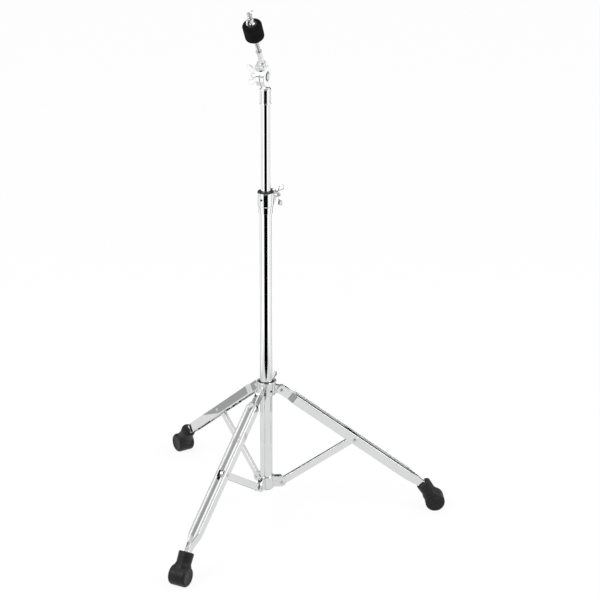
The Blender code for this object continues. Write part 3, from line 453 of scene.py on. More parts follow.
def washer(inner, outer, low, high, edge=0.0003, steps=ROUND):
    """A ring with rolled edges."""
    outline = [(inner, low), (outer, low), (outer, high), (inner, high)]
    return lathe(softened(outline, edge), steps)


def plug(radius, low, high, edge=0.0003, steps=SMALL_ROUND):
    """A solid cylinder with rolled edges."""
    outline = [(0, low), (radius, low), (radius, high), (0, high)]
    return lathe(softened(outline, edge, closed=False), steps, closed=False)


def slab(outline, low, high, edge=0.0005):
    """Extrude an outline of (x, z) points along Y, with rolled rims."""
    bm = bmesh.new()
    face = bm.faces.new([bm.verts.new((x, low, z)) for x, z in outline])
    grown = bmesh.ops.extrude_face_region(bm, geom=[face])
    top = [item for item in grown["geom"] if isinstance(item, bmesh.types.BMVert)]
    bmesh.ops.translate(bm, verts=top, vec=(0, high - low, 0))
    bmesh.ops.recalc_face_normals(bm, faces=bm.faces)
    if edge:
        rims = [e for e in bm.edges if abs(e.verts[0].co.y - e.verts[1].co.y) < 1e-9]
        bmesh.ops.bevel(bm, geom=rims, offset=edge, offset_type="OFFSET", segments=3, profile=0.5,
                        affect="EDGES", clamp_overlap=True)
    return finished(bm)


def brick(low, high, edge=0.0005):
    """A box between two corners with its edges rolled."""
    outline = softened([(low[0], low[2]), (high[0], low[2]), (high[0], high[2]), (low[0], high[2])], edge)
    return slab(outline, low[1], high[1], edge)


def skinned(sections):
    """Skin closed sections that have the same number of points, and close the ends."""
    bm = bmesh.new()
    loops = [[bm.verts.new(point) for point in section] for section in sections]
    for near, far in zip(loops, loops[1:]):
        for index in range(len(near)):
            after = (index + 1) % len(near)
            bm.faces.new((near[index], near[after], far[after], far[index]))
    bm.faces.new(loops[0])
    bm.faces.new(loops[-1])
    return finished(bm)


def placed(mesh, matrix):
    """A copy of a mesh at another place, with its faces kept outward."""
    copy = mesh.copy()
    copy.transform(matrix)
    if matrix.determinant() < 0:
        copy.flip_normals()
    return copy


def along_y(mesh, offset=(0, 0, 0)):
    """Lay a mesh made along Z down along +Y."""
    return placed(mesh, Matrix.Translation(offset) @ Matrix.Rotation(-math.pi / 2, 4, "X"))


def along_x(mesh, offset=(0, 0, 0)):
    """Lay a mesh made along Z down along +X."""
    return placed(mesh, Matrix.Translation(offset) @ Matrix.Rotation(math.pi / 2, 4, "Y"))


def evaluated_mesh(holder):
    """The mesh of an object as its modifiers leave it. The object goes."""
    graph = bpy.context.evaluated_depsgraph_get()
    made = bpy.data.meshes.new_from_object(holder.evaluated_get(graph), preserve_all_data_layers=True,
                                           depsgraph=graph)
    bpy.data.objects.remove(holder, do_unlink=True)
    return made


def combined(mesh, other, operation):
    """Join another closed mesh to a mesh, or cut it out."""
    body = bpy.data.objects.new("body", mesh)
    tool = bpy.data.objects.new("tool", other)
    for obj in (body, tool):
        bpy.context.scene.collection.objects.link(obj)
    boolean = body.modifiers.new("boolean", "BOOLEAN")
    boolean.operation = operation
    boolean.object = tool
    made = evaluated_mesh(body)
    bpy.data.objects.remove(tool, do_unlink=True)
    made.shade_smooth()
    made.set_sharp_from_angle(angle=math.radians(32))
    return made


def joined(mesh, *others):
    """Union with each of the others in turn."""
    for other in others:
        mesh = combined(mesh, other, "UNION")
    return mesh


def cut(mesh, *others):
    """Difference with each of the others in turn."""
    for other in others:
        mesh = combined(mesh, other, "DIFFERENCE")
    return mesh


def weighted(mesh):
    """Normals that follow the large faces, so that a flat or long face mirrors evenly up to its edge."""
    holder = bpy.data.objects.new("holder", mesh)
    bpy.context.scene.collection.objects.link(holder)
    holder.modifiers.new("weighted", "WEIGHTED_NORMAL").keep_sharp = True
    return evaluated_mesh(holder)


def dress(name, mesh, finish, body, *nodes):
    """Add a piece in the row frame: its finish, its body, and the nodes that it stands for."""
    mesh = weighted(mesh)
    mesh.name = name
    mesh.materials.clear()
    mesh.materials.append(FINISHES[finish])
    obj = bpy.data.objects.new(name, mesh)
    bpy.context.scene.collection.objects.link(obj)
    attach(obj, body)
    if nodes:
        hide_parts(*nodes)
    return obj


print("helpers ready, round pieces have", ROUND, "sides")

# %% [markdown]
# The post. Two drawn tubes slide in each other. A tube's end is cut and deburred, so its rim is
# rolled by a third of a millimetre. The nylon cap and liners are the black rings at its ends.

# %% Post tubes, cap and liners
TUBE_WALL = 0.0014
MAST_WALL = 0.0012
CAP_FLANGE = 0.0020
LINER_FLANGE = 0.0016
LINER_FLANGE_RADIUS = 0.0158
LINER_LENGTH = 0.030
AXIS = post_frame(0)


def post_piece(name, mesh, finish, body, *nodes):
    """A piece that was drawn on the post's axis at its real height."""
    return dress(name, placed(mesh, AXIS), finish, body, *nodes)


tube = washer(TUBE_RADIUS - TUBE_WALL, TUBE_RADIUS, TUBE_LOW.z, TUBE_HIGH.z)
post_piece("lower_post_tube", tube, "chrome", "base", "base_tube")
mast = washer(MAST_RADIUS - MAST_WALL, MAST_RADIUS, MAST_LOW.z, MAST_HIGH.z)
post_piece("upper_post_tube", mast, "chrome", "mast", "mast_tube")
cap = plug(TUBE_RADIUS, TUBE_LOW.z - CAP_FLANGE - FIT, TUBE_LOW.z - FIT, 0.0006, ROUND)
stem = plug(TUBE_RADIUS - TUBE_WALL - FIT, TUBE_LOW.z - CAP_FLANGE, TUBE_LOW.z + 0.010, 0.001, ROUND)
post_piece("post_end_cap", joined(cap, stem), "black_nylon", "base", "end_cap")
flange_low = CLAMP_TOP + FIT
liner = lathe(softened([
    (MAST_RADIUS + FIT, CLAMP_TOP - LINER_LENGTH), (TUBE_RADIUS - TUBE_WALL - FIT, CLAMP_TOP - LINER_LENGTH),
    (TUBE_RADIUS - TUBE_WALL - FIT, flange_low), (LINER_FLANGE_RADIUS, flange_low),
    (LINER_FLANGE_RADIUS, flange_low + LINER_FLANGE), (MAST_RADIUS + FIT, flange_low + LINER_FLANGE)], 0.0005))
post_piece("clamp_liner_ring", liner, "black_nylon", "base", "clamp_liner")
print("tubes", round(TUBE_HIGH.z - TUBE_LOW.z, 3), "and", round(MAST_HIGH.z - MAST_LOW.z, 3), "m long")

# %% [markdown]
# Geometry Nodes for what repeats. A helix serves every thread and the spring: the spiral curve
# carries a small section. Rivet heads are one dome set on points, and the tilter's teeth are one
# ridge set round a circle. Each tree has named inputs and ends as a plain mesh.

# %% Node trees


def new_tree(name, inputs):
    """A geometry tree with a Geometry input, named inputs and a Material input."""
    tree = bpy.data.node_groups.new(name, "GeometryNodeTree")
    tree.interface.new_socket(name="Geometry", in_out="INPUT", socket_type="NodeSocketGeometry")
    for label, kind, default in inputs:
        socket = tree.interface.new_socket(name=label, in_out="INPUT", socket_type=kind)
        socket.default_value = default
    tree.interface.new_socket(name="Material", in_out="INPUT", socket_type="NodeSocketMaterial")
    tree.interface.new_socket(name="Geometry", in_out="OUTPUT", socket_type="NodeSocketGeometry")
    return tree, tree.nodes.new("NodeGroupInput"), tree.nodes.new("NodeGroupOutput")


def close_tree(tree, given, result, made):
    """End a tree: smooth shading, real instances and the material."""
    smooth = tree.nodes.new("GeometryNodeSetShadeSmooth")
    real = tree.nodes.new("GeometryNodeRealizeInstances")
    paint = tree.nodes.new("GeometryNodeSetMaterial")
    tree.links.new(made, smooth.inputs["Geometry"])
    tree.links.new(smooth.outputs["Geometry"], real.inputs["Geometry"])
    tree.links.new(real.outputs["Geometry"], paint.inputs["Geometry"])
    tree.links.new(given.outputs["Material"], paint.inputs["Material"])
    tree.links.new(paint.outputs["Geometry"], result.inputs["Geometry"])


def maths(tree, operation, first, second):
    """A Math node whose inputs are sockets or numbers."""
    node = tree.nodes.new("ShaderNodeMath")
    node.operation = operation
    for socket, value in zip(node.inputs, (first, second)):
        if isinstance(value, (int, float)):
            socket.default_value = value
        else:
            tree.links.new(value, socket)
    return node.outputs["Value"]


def helix_tree():
    """A section swept along a right-hand helix that starts at the origin's level."""
    number = "NodeSocketFloat"
    tree, given, result = new_tree("helix", [
        ("Radius", number, 0.004), ("Length", number, 0.01), ("Pitch", number, 0.00125),
        ("Section", number, 0.0004), ("Sides", "NodeSocketInt", 4)])
    spiral = tree.nodes.new("GeometryNodeCurveSpiral")
    spiral.inputs["Resolution"].default_value = 32
    section = tree.nodes.new("GeometryNodeCurvePrimitiveCircle")
    sweep = tree.nodes.new("GeometryNodeCurveToMesh")
    sweep.inputs["Fill Caps"].default_value = True
    turns = maths(tree, "DIVIDE", given.outputs["Length"], given.outputs["Pitch"])
    tree.links.new(turns, spiral.inputs["Rotations"])
    tree.links.new(given.outputs["Radius"], spiral.inputs["Start Radius"])
    tree.links.new(given.outputs["Radius"], spiral.inputs["End Radius"])
    tree.links.new(given.outputs["Length"], spiral.inputs["Height"])
    tree.links.new(given.outputs["Sides"], section.inputs["Resolution"])
    tree.links.new(given.outputs["Section"], section.inputs["Radius"])
    tree.links.new(spiral.outputs["Curve"], sweep.inputs["Curve"])
    tree.links.new(section.outputs["Curve"], sweep.inputs["Profile Curve"])
    close_tree(tree, given, result, sweep.outputs["Mesh"])
    return tree


def dome_tree():
    """A flattened dome on each point, facing along the point's direction."""
    number = "NodeSocketFloat"
    tree, given, result = new_tree("domes", [("Radius", number, 0.0041), ("Height", number, 0.0016)])
    ball = tree.nodes.new("GeometryNodeMeshUVSphere")
    ball.inputs["Segments"].default_value = 32
    ball.inputs["Rings"].default_value = 16
    ball.inputs["Radius"].default_value = 1.0
    squeeze = tree.nodes.new("GeometryNodeTransform")
    scale = tree.nodes.new("ShaderNodeCombineXYZ")
    for axis, label in (("X", "Radius"), ("Y", "Radius"), ("Z", "Height")):
        tree.links.new(given.outputs[label], scale.inputs[axis])
    direction = tree.nodes.new("GeometryNodeInputNamedAttribute")
    direction.data_type = "FLOAT_VECTOR"
    direction.inputs["Name"].default_value = "direction"
    align = tree.nodes.new("FunctionNodeAlignRotationToVector")
    align.axis = "Z"
    copies = tree.nodes.new("GeometryNodeInstanceOnPoints")
    tree.links.new(ball.outputs["Mesh"], squeeze.inputs["Geometry"])
    tree.links.new(scale.outputs["Vector"], squeeze.inputs["Scale"])
    tree.links.new(direction.outputs["Attribute"], align.inputs["Vector"])
    tree.links.new(given.outputs["Geometry"], copies.inputs["Points"])
    tree.links.new(squeeze.outputs["Geometry"], copies.inputs["Instance"])
    tree.links.new(align.outputs["Rotation"], copies.inputs["Rotation"])
    close_tree(tree, given, result, copies.outputs["Instances"])
    return tree


def teeth_tree():
    """Radial ridges round Z, as on a face coupling."""
    number = "NodeSocketFloat"
    tree, given, result = new_tree("teeth", [
        ("Count", "NodeSocketInt", 60), ("Inner", number, 0.012), ("Outer", number, 0.02),
        ("Height", number, 0.0003)])
    line = tree.nodes.new("GeometryNodeCurvePrimitiveLine")
    ends = [tree.nodes.new("ShaderNodeCombineXYZ") for _ in range(2)]
    tree.links.new(given.outputs["Inner"], ends[0].inputs["X"])
    tree.links.new(given.outputs["Outer"], ends[1].inputs["X"])
    tree.links.new(ends[0].outputs["Vector"], line.inputs["Start"])
    tree.links.new(ends[1].outputs["Vector"], line.inputs["End"])
    section = tree.nodes.new("GeometryNodeCurvePrimitiveCircle")
    section.inputs["Resolution"].default_value = 4
    tree.links.new(given.outputs["Height"], section.inputs["Radius"])
    ridge = tree.nodes.new("GeometryNodeCurveToMesh")
    ridge.inputs["Fill Caps"].default_value = True
    tree.links.new(line.outputs["Curve"], ridge.inputs["Curve"])
    tree.links.new(section.outputs["Curve"], ridge.inputs["Profile Curve"])
    points = tree.nodes.new("GeometryNodeMeshLine")
    points.inputs["Offset"].default_value = (0, 0, 0)
    tree.links.new(given.outputs["Count"], points.inputs["Count"])
    index = tree.nodes.new("GeometryNodeInputIndex")
    step = maths(tree, "DIVIDE", math.tau, given.outputs["Count"])
    turn = tree.nodes.new("ShaderNodeCombineXYZ")
    tree.links.new(maths(tree, "MULTIPLY", index.outputs["Index"], step), turn.inputs["Z"])
    copies = tree.nodes.new("GeometryNodeInstanceOnPoints")
    tree.links.new(points.outputs["Mesh"], copies.inputs["Points"])
    tree.links.new(ridge.outputs["Mesh"], copies.inputs["Instance"])
    tree.links.new(turn.outputs["Vector"], copies.inputs["Rotation"])
    close_tree(tree, given, result, copies.outputs["Instances"])
    return tree


def grown(tree, finish, start=None, **values):
    """Run a tree on a mesh, or on nothing, and return the result as a plain mesh."""
    holder = bpy.data.objects.new("holder", start or bpy.data.meshes.new("start"))
    bpy.context.scene.collection.objects.link(holder)
    modifier = holder.modifiers.new("grown", "NODES")
    modifier.node_group = tree
    values["Material"] = FINISHES[finish]
    for item in tree.interface.items_tree:
        if item.item_type == "SOCKET" and item.in_out == "INPUT" and item.name in values:
            modifier[item.identifier] = values[item.name]
    made = evaluated_mesh(holder)
    made.set_sharp_from_angle(angle=math.radians(40))
    return made


def dotted(points):
    """A mesh of loose points, each with a direction."""
    mesh = bpy.data.meshes.new("points")
    mesh.from_pydata([place for place, _ in points], [], [])
    directions = mesh.attributes.new("direction", "FLOAT_VECTOR", "POINT")
    for item, (_, direction) in zip(directions.data, points):
        item.vector = direction
    return mesh


HELIX = helix_tree()
DOMES = dome_tree()
TEETH = teeth_tree()
print("trees", HELIX.name, DOMES.name, TEETH.name)

# %% [markdown]
# Fasteners. A wing nut is a turned hub with two lobes, plated as one. A socket screw has a hexagon
# hole. Threads are a ridge on a helix round the shank.

# %% Fasteners
HUB_RADIUS = 0.0072
HUB_HEIGHT = 0.0125
WING_THICKNESS = 0.0034
LOBE_RADIUS = 0.0055
BOLT_RADIUS = 0.0030
RIVET_HEAD_RADIUS = 0.0041
RIVET_HEAD_HEIGHT = 0.0016
SET_SCREW_RADIUS = 0.0021


def wing_nut(span, height, bore):
    """A butterfly nut along +Z from its seat, with its wings in the XZ plane."""
    profile = [(0, 0), (HUB_RADIUS, 0), (HUB_RADIUS, 0.0018), (0.0058, 0.0042), (0.0052, HUB_HEIGHT),
               (0, HUB_HEIGHT)]
    hub = lathe(softened(profile, 0.0006, closed=False), SMALL_ROUND, closed=False)
    centre = (span / 2 - LOBE_RADIUS, height - LOBE_RADIUS)
    outline = [(0.0030, 0.0021), (0.0087, 0.0021), *arc(centre, LOBE_RADIUS, -50, 170, 20),
               (HUB_RADIUS, HUB_HEIGHT * 0.86), (0.0030, HUB_HEIGHT * 0.82)]
    wing = slab(outline, -WING_THICKNESS / 2, WING_THICKNESS / 2, 0.0011)
    other = placed(wing, Matrix.Rotation(math.pi, 4, "Z"))
    winged = joined(hub, wing, other)
    if bore:
        winged = cut(winged, plug(bore, -0.01, HUB_HEIGHT + 0.01, 0))
    return winged


def socket_screw(low, high):
    """A small screw along +X with a hexagon hole in its outer end."""
    body = plug(SET_SCREW_RADIUS, low, high, 0.0002)
    hole = lathe([(0, high - 0.0012), (0.0011, high - 0.0012), (0.0011, high + 0.001), (0, high + 0.001)], 6, False)
    return along_x(cut(body, hole))


def thread(finish, radius, low, high, pitch=0.00125, depth=0.0004):
    """The ridge of a thread round Z between two heights."""
    ridge = grown(HELIX, finish, Radius=radius - depth, Length=high - low, Pitch=pitch, Section=depth, Sides=4)
    return placed(ridge, Matrix.Translation((0, 0, low)))


def heads(points):
    """Rivet heads at (place, direction) pairs."""
    return grown(DOMES, "zinc_steel", dotted(points), Radius=RIVET_HEAD_RADIUS, Height=RIVET_HEAD_HEIGHT)


def set_screw(name, node, body, surface, heading, height):
    """A set screw in a collar's wall."""
    screw = socket_screw(surface - 0.0015, surface + 0.0006)
    dress(name, placed(screw, post_frame(height, heading)), "black_steel", body, node)


print("a wing nut has", len(wing_nut(0.041, 0.0215, 0.0033).polygons), "faces")

# %% [markdown]
# The height clamp: a split casting over the tube's top, drawn shut by a bolt through two ears, with
# a narrower band below. A maker puts a badge on that band; here it is bare.

# %% Height clamp
CLAMP_RADIUS = 0.0165
CLAMP_HEIGHT = 0.027
BAND_RADIUS = 0.0148
BAND_HEIGHT = 0.014
EAR_REACH = 0.0325
EAR_HALF_HEIGHT = 0.011
CLAMP_SLOT = 0.003
EAR_SIDE = 0.0065
BOLT_REACH = 0.0245
BOLT_DROP = 0.011
WING_SPAN = 0.041
WING_HEIGHT = 0.0215
CLAMP_NUT_TURN = 70
CLAMP_SCREW_HEADING = -122
CLAMP_SCREW_DROP = 0.0125


def clamp_casting():
    """The split collar in the clamp's frame, from its top face down."""
    bore = TUBE_RADIUS + FIT
    foot = -CLAMP_HEIGHT - BAND_HEIGHT
    profile = [(bore, 0), (bore, foot), (BAND_RADIUS, foot), (BAND_RADIUS, -CLAMP_HEIGHT - 0.0012),
               (BAND_RADIUS - 0.0005, -CLAMP_HEIGHT - 0.0006), (CLAMP_RADIUS - 0.0008, -CLAMP_HEIGHT),
               (CLAMP_RADIUS, -CLAMP_HEIGHT + 0.0008), (CLAMP_RADIUS, -0.0008), (CLAMP_RADIUS - 0.0008, 0)]
    body = lathe(softened(profile, 0.0004))
    root = 0.0137
    outline = softened([(root, -EAR_HALF_HEIGHT), (EAR_REACH, -EAR_HALF_HEIGHT), (EAR_REACH, EAR_HALF_HEIGHT),
                        (root, EAR_HALF_HEIGHT)], 0.0062, steps=8)
    ears = placed(slab(outline, -EAR_SIDE, EAR_SIDE, 0.0009), Matrix.Translation((0, 0, -BOLT_DROP)))
    slot = slab([(0.005, -CLAMP_HEIGHT), (0.05, -CLAMP_HEIGHT), (0.05, 0.01), (0.005, 0.01)],
                -CLAMP_SLOT / 2, CLAMP_SLOT / 2, 0)
    hole = along_y(plug(BOLT_RADIUS + FIT, -0.02, 0.02, 0), (BOLT_REACH, 0, -BOLT_DROP))
    pocket = along_x(plug(SET_SCREW_RADIUS + FIT, CLAMP_RADIUS - 0.0018, CLAMP_RADIUS + 0.004, 0))
    turn = Matrix.Rotation(math.radians(CLAMP_SCREW_HEADING - CLAMP_HEADING), 4, "Z")
    pocket = placed(pocket, Matrix.Translation((0, 0, -CLAMP_SCREW_DROP)) @ turn)
    return cut(joined(body, ears), slot, hole, pocket)


def round_head_bolt(grip, tail):
    """A round-headed bolt along +Z, its head below zero and its threaded end past the nut."""
    length = grip + HUB_HEIGHT + tail
    profile = [(0, -0.0036), (0.0030, -0.0035), (0.0048, -0.0028), (0.0060, -0.0014), (0.0060, -FIT),
               (BOLT_RADIUS - 0.0003, -FIT), (BOLT_RADIUS - 0.0003, length), (0, length)]
    shank = lathe(softened(profile, 0.0004, closed=False), SMALL_ROUND, closed=False)
    return shank, thread("zinc_steel", BOLT_RADIUS, grip, length - 0.0005, 0.001, 0.0003)


dress("clamp_casting", placed(clamp_casting(), CLAMP), "cast", "base", "height_clamp")
set_screw("clamp_socket_screw", "clamp_set_screw", "base", CLAMP_RADIUS, CLAMP_SCREW_HEADING,
          CLAMP_TOP - CLAMP_SCREW_DROP)
NUT_SEAT = 2 * EAR_SIDE + FIT
shank, ridge = round_head_bolt(NUT_SEAT, 0.003)
BOLT_HEAD = CLAMP @ Matrix.Translation((BOLT_REACH, EAR_SIDE, -BOLT_DROP)) @ Matrix.Rotation(math.pi / 2, 4, "X")
dress("clamp_round_bolt", placed(shank, BOLT_HEAD), "zinc_steel", "base", "clamp_bolt")
dress("clamp_bolt_thread", placed(ridge, BOLT_HEAD), "zinc_steel", "base")
nut_turn = Matrix.Translation((0, 0, NUT_SEAT)) @ Matrix.Rotation(math.radians(CLAMP_NUT_TURN), 4, "Z")
dress("clamp_butterfly_nut", placed(wing_nut(WING_SPAN, WING_HEIGHT, BOLT_RADIUS + FIT), BOLT_HEAD @ nut_turn),
      "cast", "clamp_nut", "clamp_wing_nut")
print("clamp done")

# %% [markdown]
# The two collars of the tripod. The upper one slides, with a tongue for each leg and a wing screw
# that locks it. The lower one is fixed and takes each stay between two ears.

# %% Collars
PIVOT_RADIUS = 0.031
COLLAR_RADIUS = 0.0190
COLLAR_BELOW = 0.0085
COLLAR_ABOVE = 0.0190
COLLAR_LINER = 0.0015
LINER_PROUD = 0.0008
TONGUE_HALF = 0.0036
TONGUE_RADIUS = 0.0078
BOSS_RADIUS = 0.0058
BOSS_REACH = 0.0225
COLLAR_SCREW_RISE = 0.0060
SCREW_AXIS = Vector(joints["collar_screw_turn"]["axis"])
SCREW_HEADING = math.degrees(math.atan2(SCREW_AXIS.y, SCREW_AXIS.x))
COLLAR_SET_HEADING = -60
LOWER_SET_HEADING = 60
SET_RISE = 0.0020
LOWER_RADIUS = 0.0157
LOWER_BELOW = 0.011
LOWER_ABOVE = 0.015
EAR_INNER = 0.0039
EAR_THICKNESS = 0.0025
EAR_END = 0.0088


def turn_about_post(heading, height=0.0):
    """A turn about Z and a lift, in a frame on the post's axis."""
    return Matrix.Translation((0, 0, height)) @ Matrix.Rotation(math.radians(heading), 4, "Z")


def sliding_collar():
    """The sliding collar about its own pivot height."""
    bore = TUBE_RADIUS + 2 * FIT + COLLAR_LINER
    profile = [(bore, -COLLAR_BELOW), (COLLAR_RADIUS, -COLLAR_BELOW), (COLLAR_RADIUS, COLLAR_ABOVE),
               (bore, COLLAR_ABOVE)]
    body = lathe(softened(profile, 0.0009, steps=4))
    root = (bore + COLLAR_RADIUS) / 2
    outline = [(root, -TONGUE_RADIUS), *arc((PIVOT_RADIUS, 0), TONGUE_RADIUS, -90, 90, 24),
               (root, TONGUE_RADIUS + 0.004)]
    tongue = slab(outline, -TONGUE_HALF, TONGUE_HALF, 0.0008)
    boss = placed(along_x(plug(BOSS_RADIUS, root, BOSS_REACH, 0.0006)),
                  turn_about_post(SCREW_HEADING, COLLAR_SCREW_RISE))
    pocket = placed(along_x(plug(SET_SCREW_RADIUS + FIT, COLLAR_RADIUS - 0.0018, COLLAR_RADIUS + 0.004, 0)),
                    turn_about_post(COLLAR_SET_HEADING, SET_RISE))
    tongues = [placed(tongue, turn_about_post(heading_of(leg))) for leg in LEGS]
    return cut(joined(body, *tongues, boss), pocket)


def fixed_collar():
    """The lower collar about its own pivot height."""
    bore = TUBE_RADIUS + FIT
    profile = [(bore, -LOWER_BELOW), (LOWER_RADIUS, -LOWER_BELOW), (LOWER_RADIUS, LOWER_ABOVE),
               (bore, LOWER_ABOVE)]
    body = lathe(softened(profile, 0.0008, steps=4))
    root = 0.0139
    top = LOWER_ABOVE - 0.0012
    outline = [(root, -EAR_END), *arc((PIVOT_RADIUS, 0), EAR_END, -90, 40, 18),
               (PIVOT_RADIUS - 0.0012, top), (root, top)]
    near = slab(outline, -EAR_INNER - EAR_THICKNESS, -EAR_INNER, 0.0005)
    far = slab(outline, EAR_INNER, EAR_INNER + EAR_THICKNESS, 0.0005)
    ears = [placed(ear, turn_about_post(heading_of(leg))) for leg in LEGS for ear in (near, far)]
    pocket = placed(along_x(plug(SET_SCREW_RADIUS + FIT, LOWER_RADIUS - 0.0018, LOWER_RADIUS + 0.004, 0)),
                    turn_about_post(LOWER_SET_HEADING, SET_RISE))
    return cut(joined(body, *ears), pocket)


dress("leg_collar_casting", placed(sliding_collar(), post_frame(COLLAR_HEIGHT)), "cast", "sliding_collar",
      "leg_collar")
liner = washer(TUBE_RADIUS + FIT, TUBE_RADIUS + FIT + COLLAR_LINER, -COLLAR_BELOW - LINER_PROUD,
               COLLAR_ABOVE + LINER_PROUD, 0.0004)
dress("leg_collar_liner", placed(liner, post_frame(COLLAR_HEIGHT)), "black_nylon", "sliding_collar",
      "collar_liner")
dress("stay_collar_casting", placed(fixed_collar(), post_frame(LOWER_HEIGHT)), "cast", "base", "lower_collar")
set_screw("leg_collar_socket_screw", "collar_set_screw", "sliding_collar", COLLAR_RADIUS, COLLAR_SET_HEADING,
          COLLAR_HEIGHT + SET_RISE)
set_screw("stay_collar_socket_screw", "lower_set_screw", "base", LOWER_RADIUS, LOWER_SET_HEADING,
          LOWER_HEIGHT + SET_RISE)
lock = placed(wing_nut(0.038, WING_HEIGHT, 0), Matrix.Translation((0, 0, BOSS_REACH + FIT)))
lock = joined(lock, plug(BOLT_RADIUS - 0.0003, 0.0151, BOSS_REACH + 0.004, 0.0003))
SCREW_PLACE = post_frame(COLLAR_HEIGHT + COLLAR_SCREW_RISE, SCREW_HEADING)
dress("collar_butterfly_screw", placed(along_x(lock), SCREW_PLACE), "cast", "collar_screw", "collar_wing_screw")
ridge = thread("zinc_steel", BOLT_RADIUS, 0.0155, BOSS_REACH, 0.001, 0.0003)
dress("collar_screw_thread", placed(along_x(ridge), SCREW_PLACE), "zinc_steel", "collar_screw")
print("collars done, wing screw heading", round(SCREW_HEADING))

# %% [markdown]
# A leg is two rolled channels with their open sides facing. At the collar and at the boot they are
# pinched together by a short crank. The section keeps its bend radius all the way, so the strip is
# skinned from closed sections.

# %% Legs and stays
LEG_UPPER = (Vector(joints["stay_b_fold"]["pos_m"]) - Vector(joints["leg_b_fold"]["pos_m"])).length
LEG_LENGTH = 0.3665
STRIP_WALL = 0.0014
STRIP_TIP = 0.0039
STRIP_FLANGE = 0.0047
NARROW_WEB = 0.0055
WIDE_WEB = 0.011
STRIP_HALF = 0.0095
STRIP_END_HALF = 0.0075
BEND = 0.0016
CRANK_START = 0.022
CRANK_LENGTH = 0.010
CRANK_BEND = 0.0008
NOSE_HALF = 0.0036
BOOT_CRANK = 0.046
STAY_LENGTH = 0.175
STAY_HALF_WIDTH = 0.0035
STAY_HALF_DEPTH = 0.0072
STAY_WALL = 0.0012
STAY_SOLID_END = 0.011


def channel(x, half, web):
    """The strip's section at a distance along the leg, open towards the leg's middle."""
    inner = web - STRIP_WALL
    floor = half - STRIP_WALL
    tip = max(STRIP_TIP, web - STRIP_FLANGE)
    bend = min(BEND, (web - tip) * 0.8)
    outer_low = arc((web - bend, -half + bend), bend, -90, 0, 5)
    outer_high = arc((web - bend, half - bend), bend, 0, 90, 5)
    burr = 0.0002
    outline = [*outer_low, *outer_high, (tip + burr, half), (tip, half - burr), (tip, floor), (inner, floor),
               (inner, -floor), (tip, -floor), (tip, -half + burr), (tip + burr, -half)]
    return [(x, y, z) for y, z in outline]


def crank(start, length, before, after):
    """Stations through a crank from one (half depth, web) to another, with a tight bend at each end."""
    hold = CRANK_BEND / length
    stations = []
    for share in (-hold, 0, hold, 1 - hold, 1, 1 + hold):
        step = min(max(share, 0), 1)
        stations.append((start + length * share, *(a + (b - a) * step for a, b in zip(before, after))))
    return stations


def leg_strip():
    """The strip on the leg's +Y side."""
    boot = LEG_LENGTH - BOOT_CRANK
    neck = boot + 2 * CRANK_LENGTH
    wide = (STRIP_HALF, WIDE_WEB)
    pinched = (STRIP_HALF * 0.97, NARROW_WEB)
    nose = [math.radians(angle) for angle in range(66, -1, -6)]
    stations = [(-STRIP_HALF * math.sin(a), max(STRIP_HALF * math.cos(a), NOSE_HALF), NARROW_WEB) for a in nose]
    stations += crank(CRANK_START, CRANK_LENGTH, (STRIP_HALF, NARROW_WEB), wide)
    stations += crank(boot, 2 * CRANK_LENGTH, wide, pinched)
    stations += crank(neck + 2 * CRANK_BEND, CRANK_LENGTH - 2 * CRANK_BEND, pinched, (STRIP_END_HALF, NARROW_WEB))
    stations.append((LEG_LENGTH, STRIP_END_HALF, NARROW_WEB))
    return skinned([channel(*station) for station in stations])


def stay_bar():
    """A stay: a narrow channel open below, with round solid ends."""
    half = STAY_HALF_DEPTH
    outline = arc((0, 0), half, 90, 270, 24) + arc((STAY_LENGTH, 0), half, -90, 90, 24)
    bar = slab(outline, -STAY_HALF_WIDTH, STAY_HALF_WIDTH, 0.0010)
    side = STAY_HALF_WIDTH - STAY_WALL
    trough = brick((STAY_SOLID_END, -side, STAY_WALL - half), (STAY_LENGTH - STAY_SOLID_END, side, 2 * half), 0.0006)
    eye = along_y(plug(0.0051, -0.02, 0.02, 0))
    return cut(bar, trough, eye)


def spool():
    """The nylon spacer on the stay's rivet: two flanges and a barrel."""
    inside = STAY_HALF_WIDTH + FIT
    outside = WIDE_WEB - STRIP_WALL - FIT
    profile = [(0.0023, -outside), (0.0068, -outside), (0.0068, -inside), (0.0048, -inside), (0.0048, inside),
               (0.0068, inside), (0.0068, outside), (0.0023, outside)]
    return along_y(lathe(softened(profile, 0.0005), SMALL_ROUND))


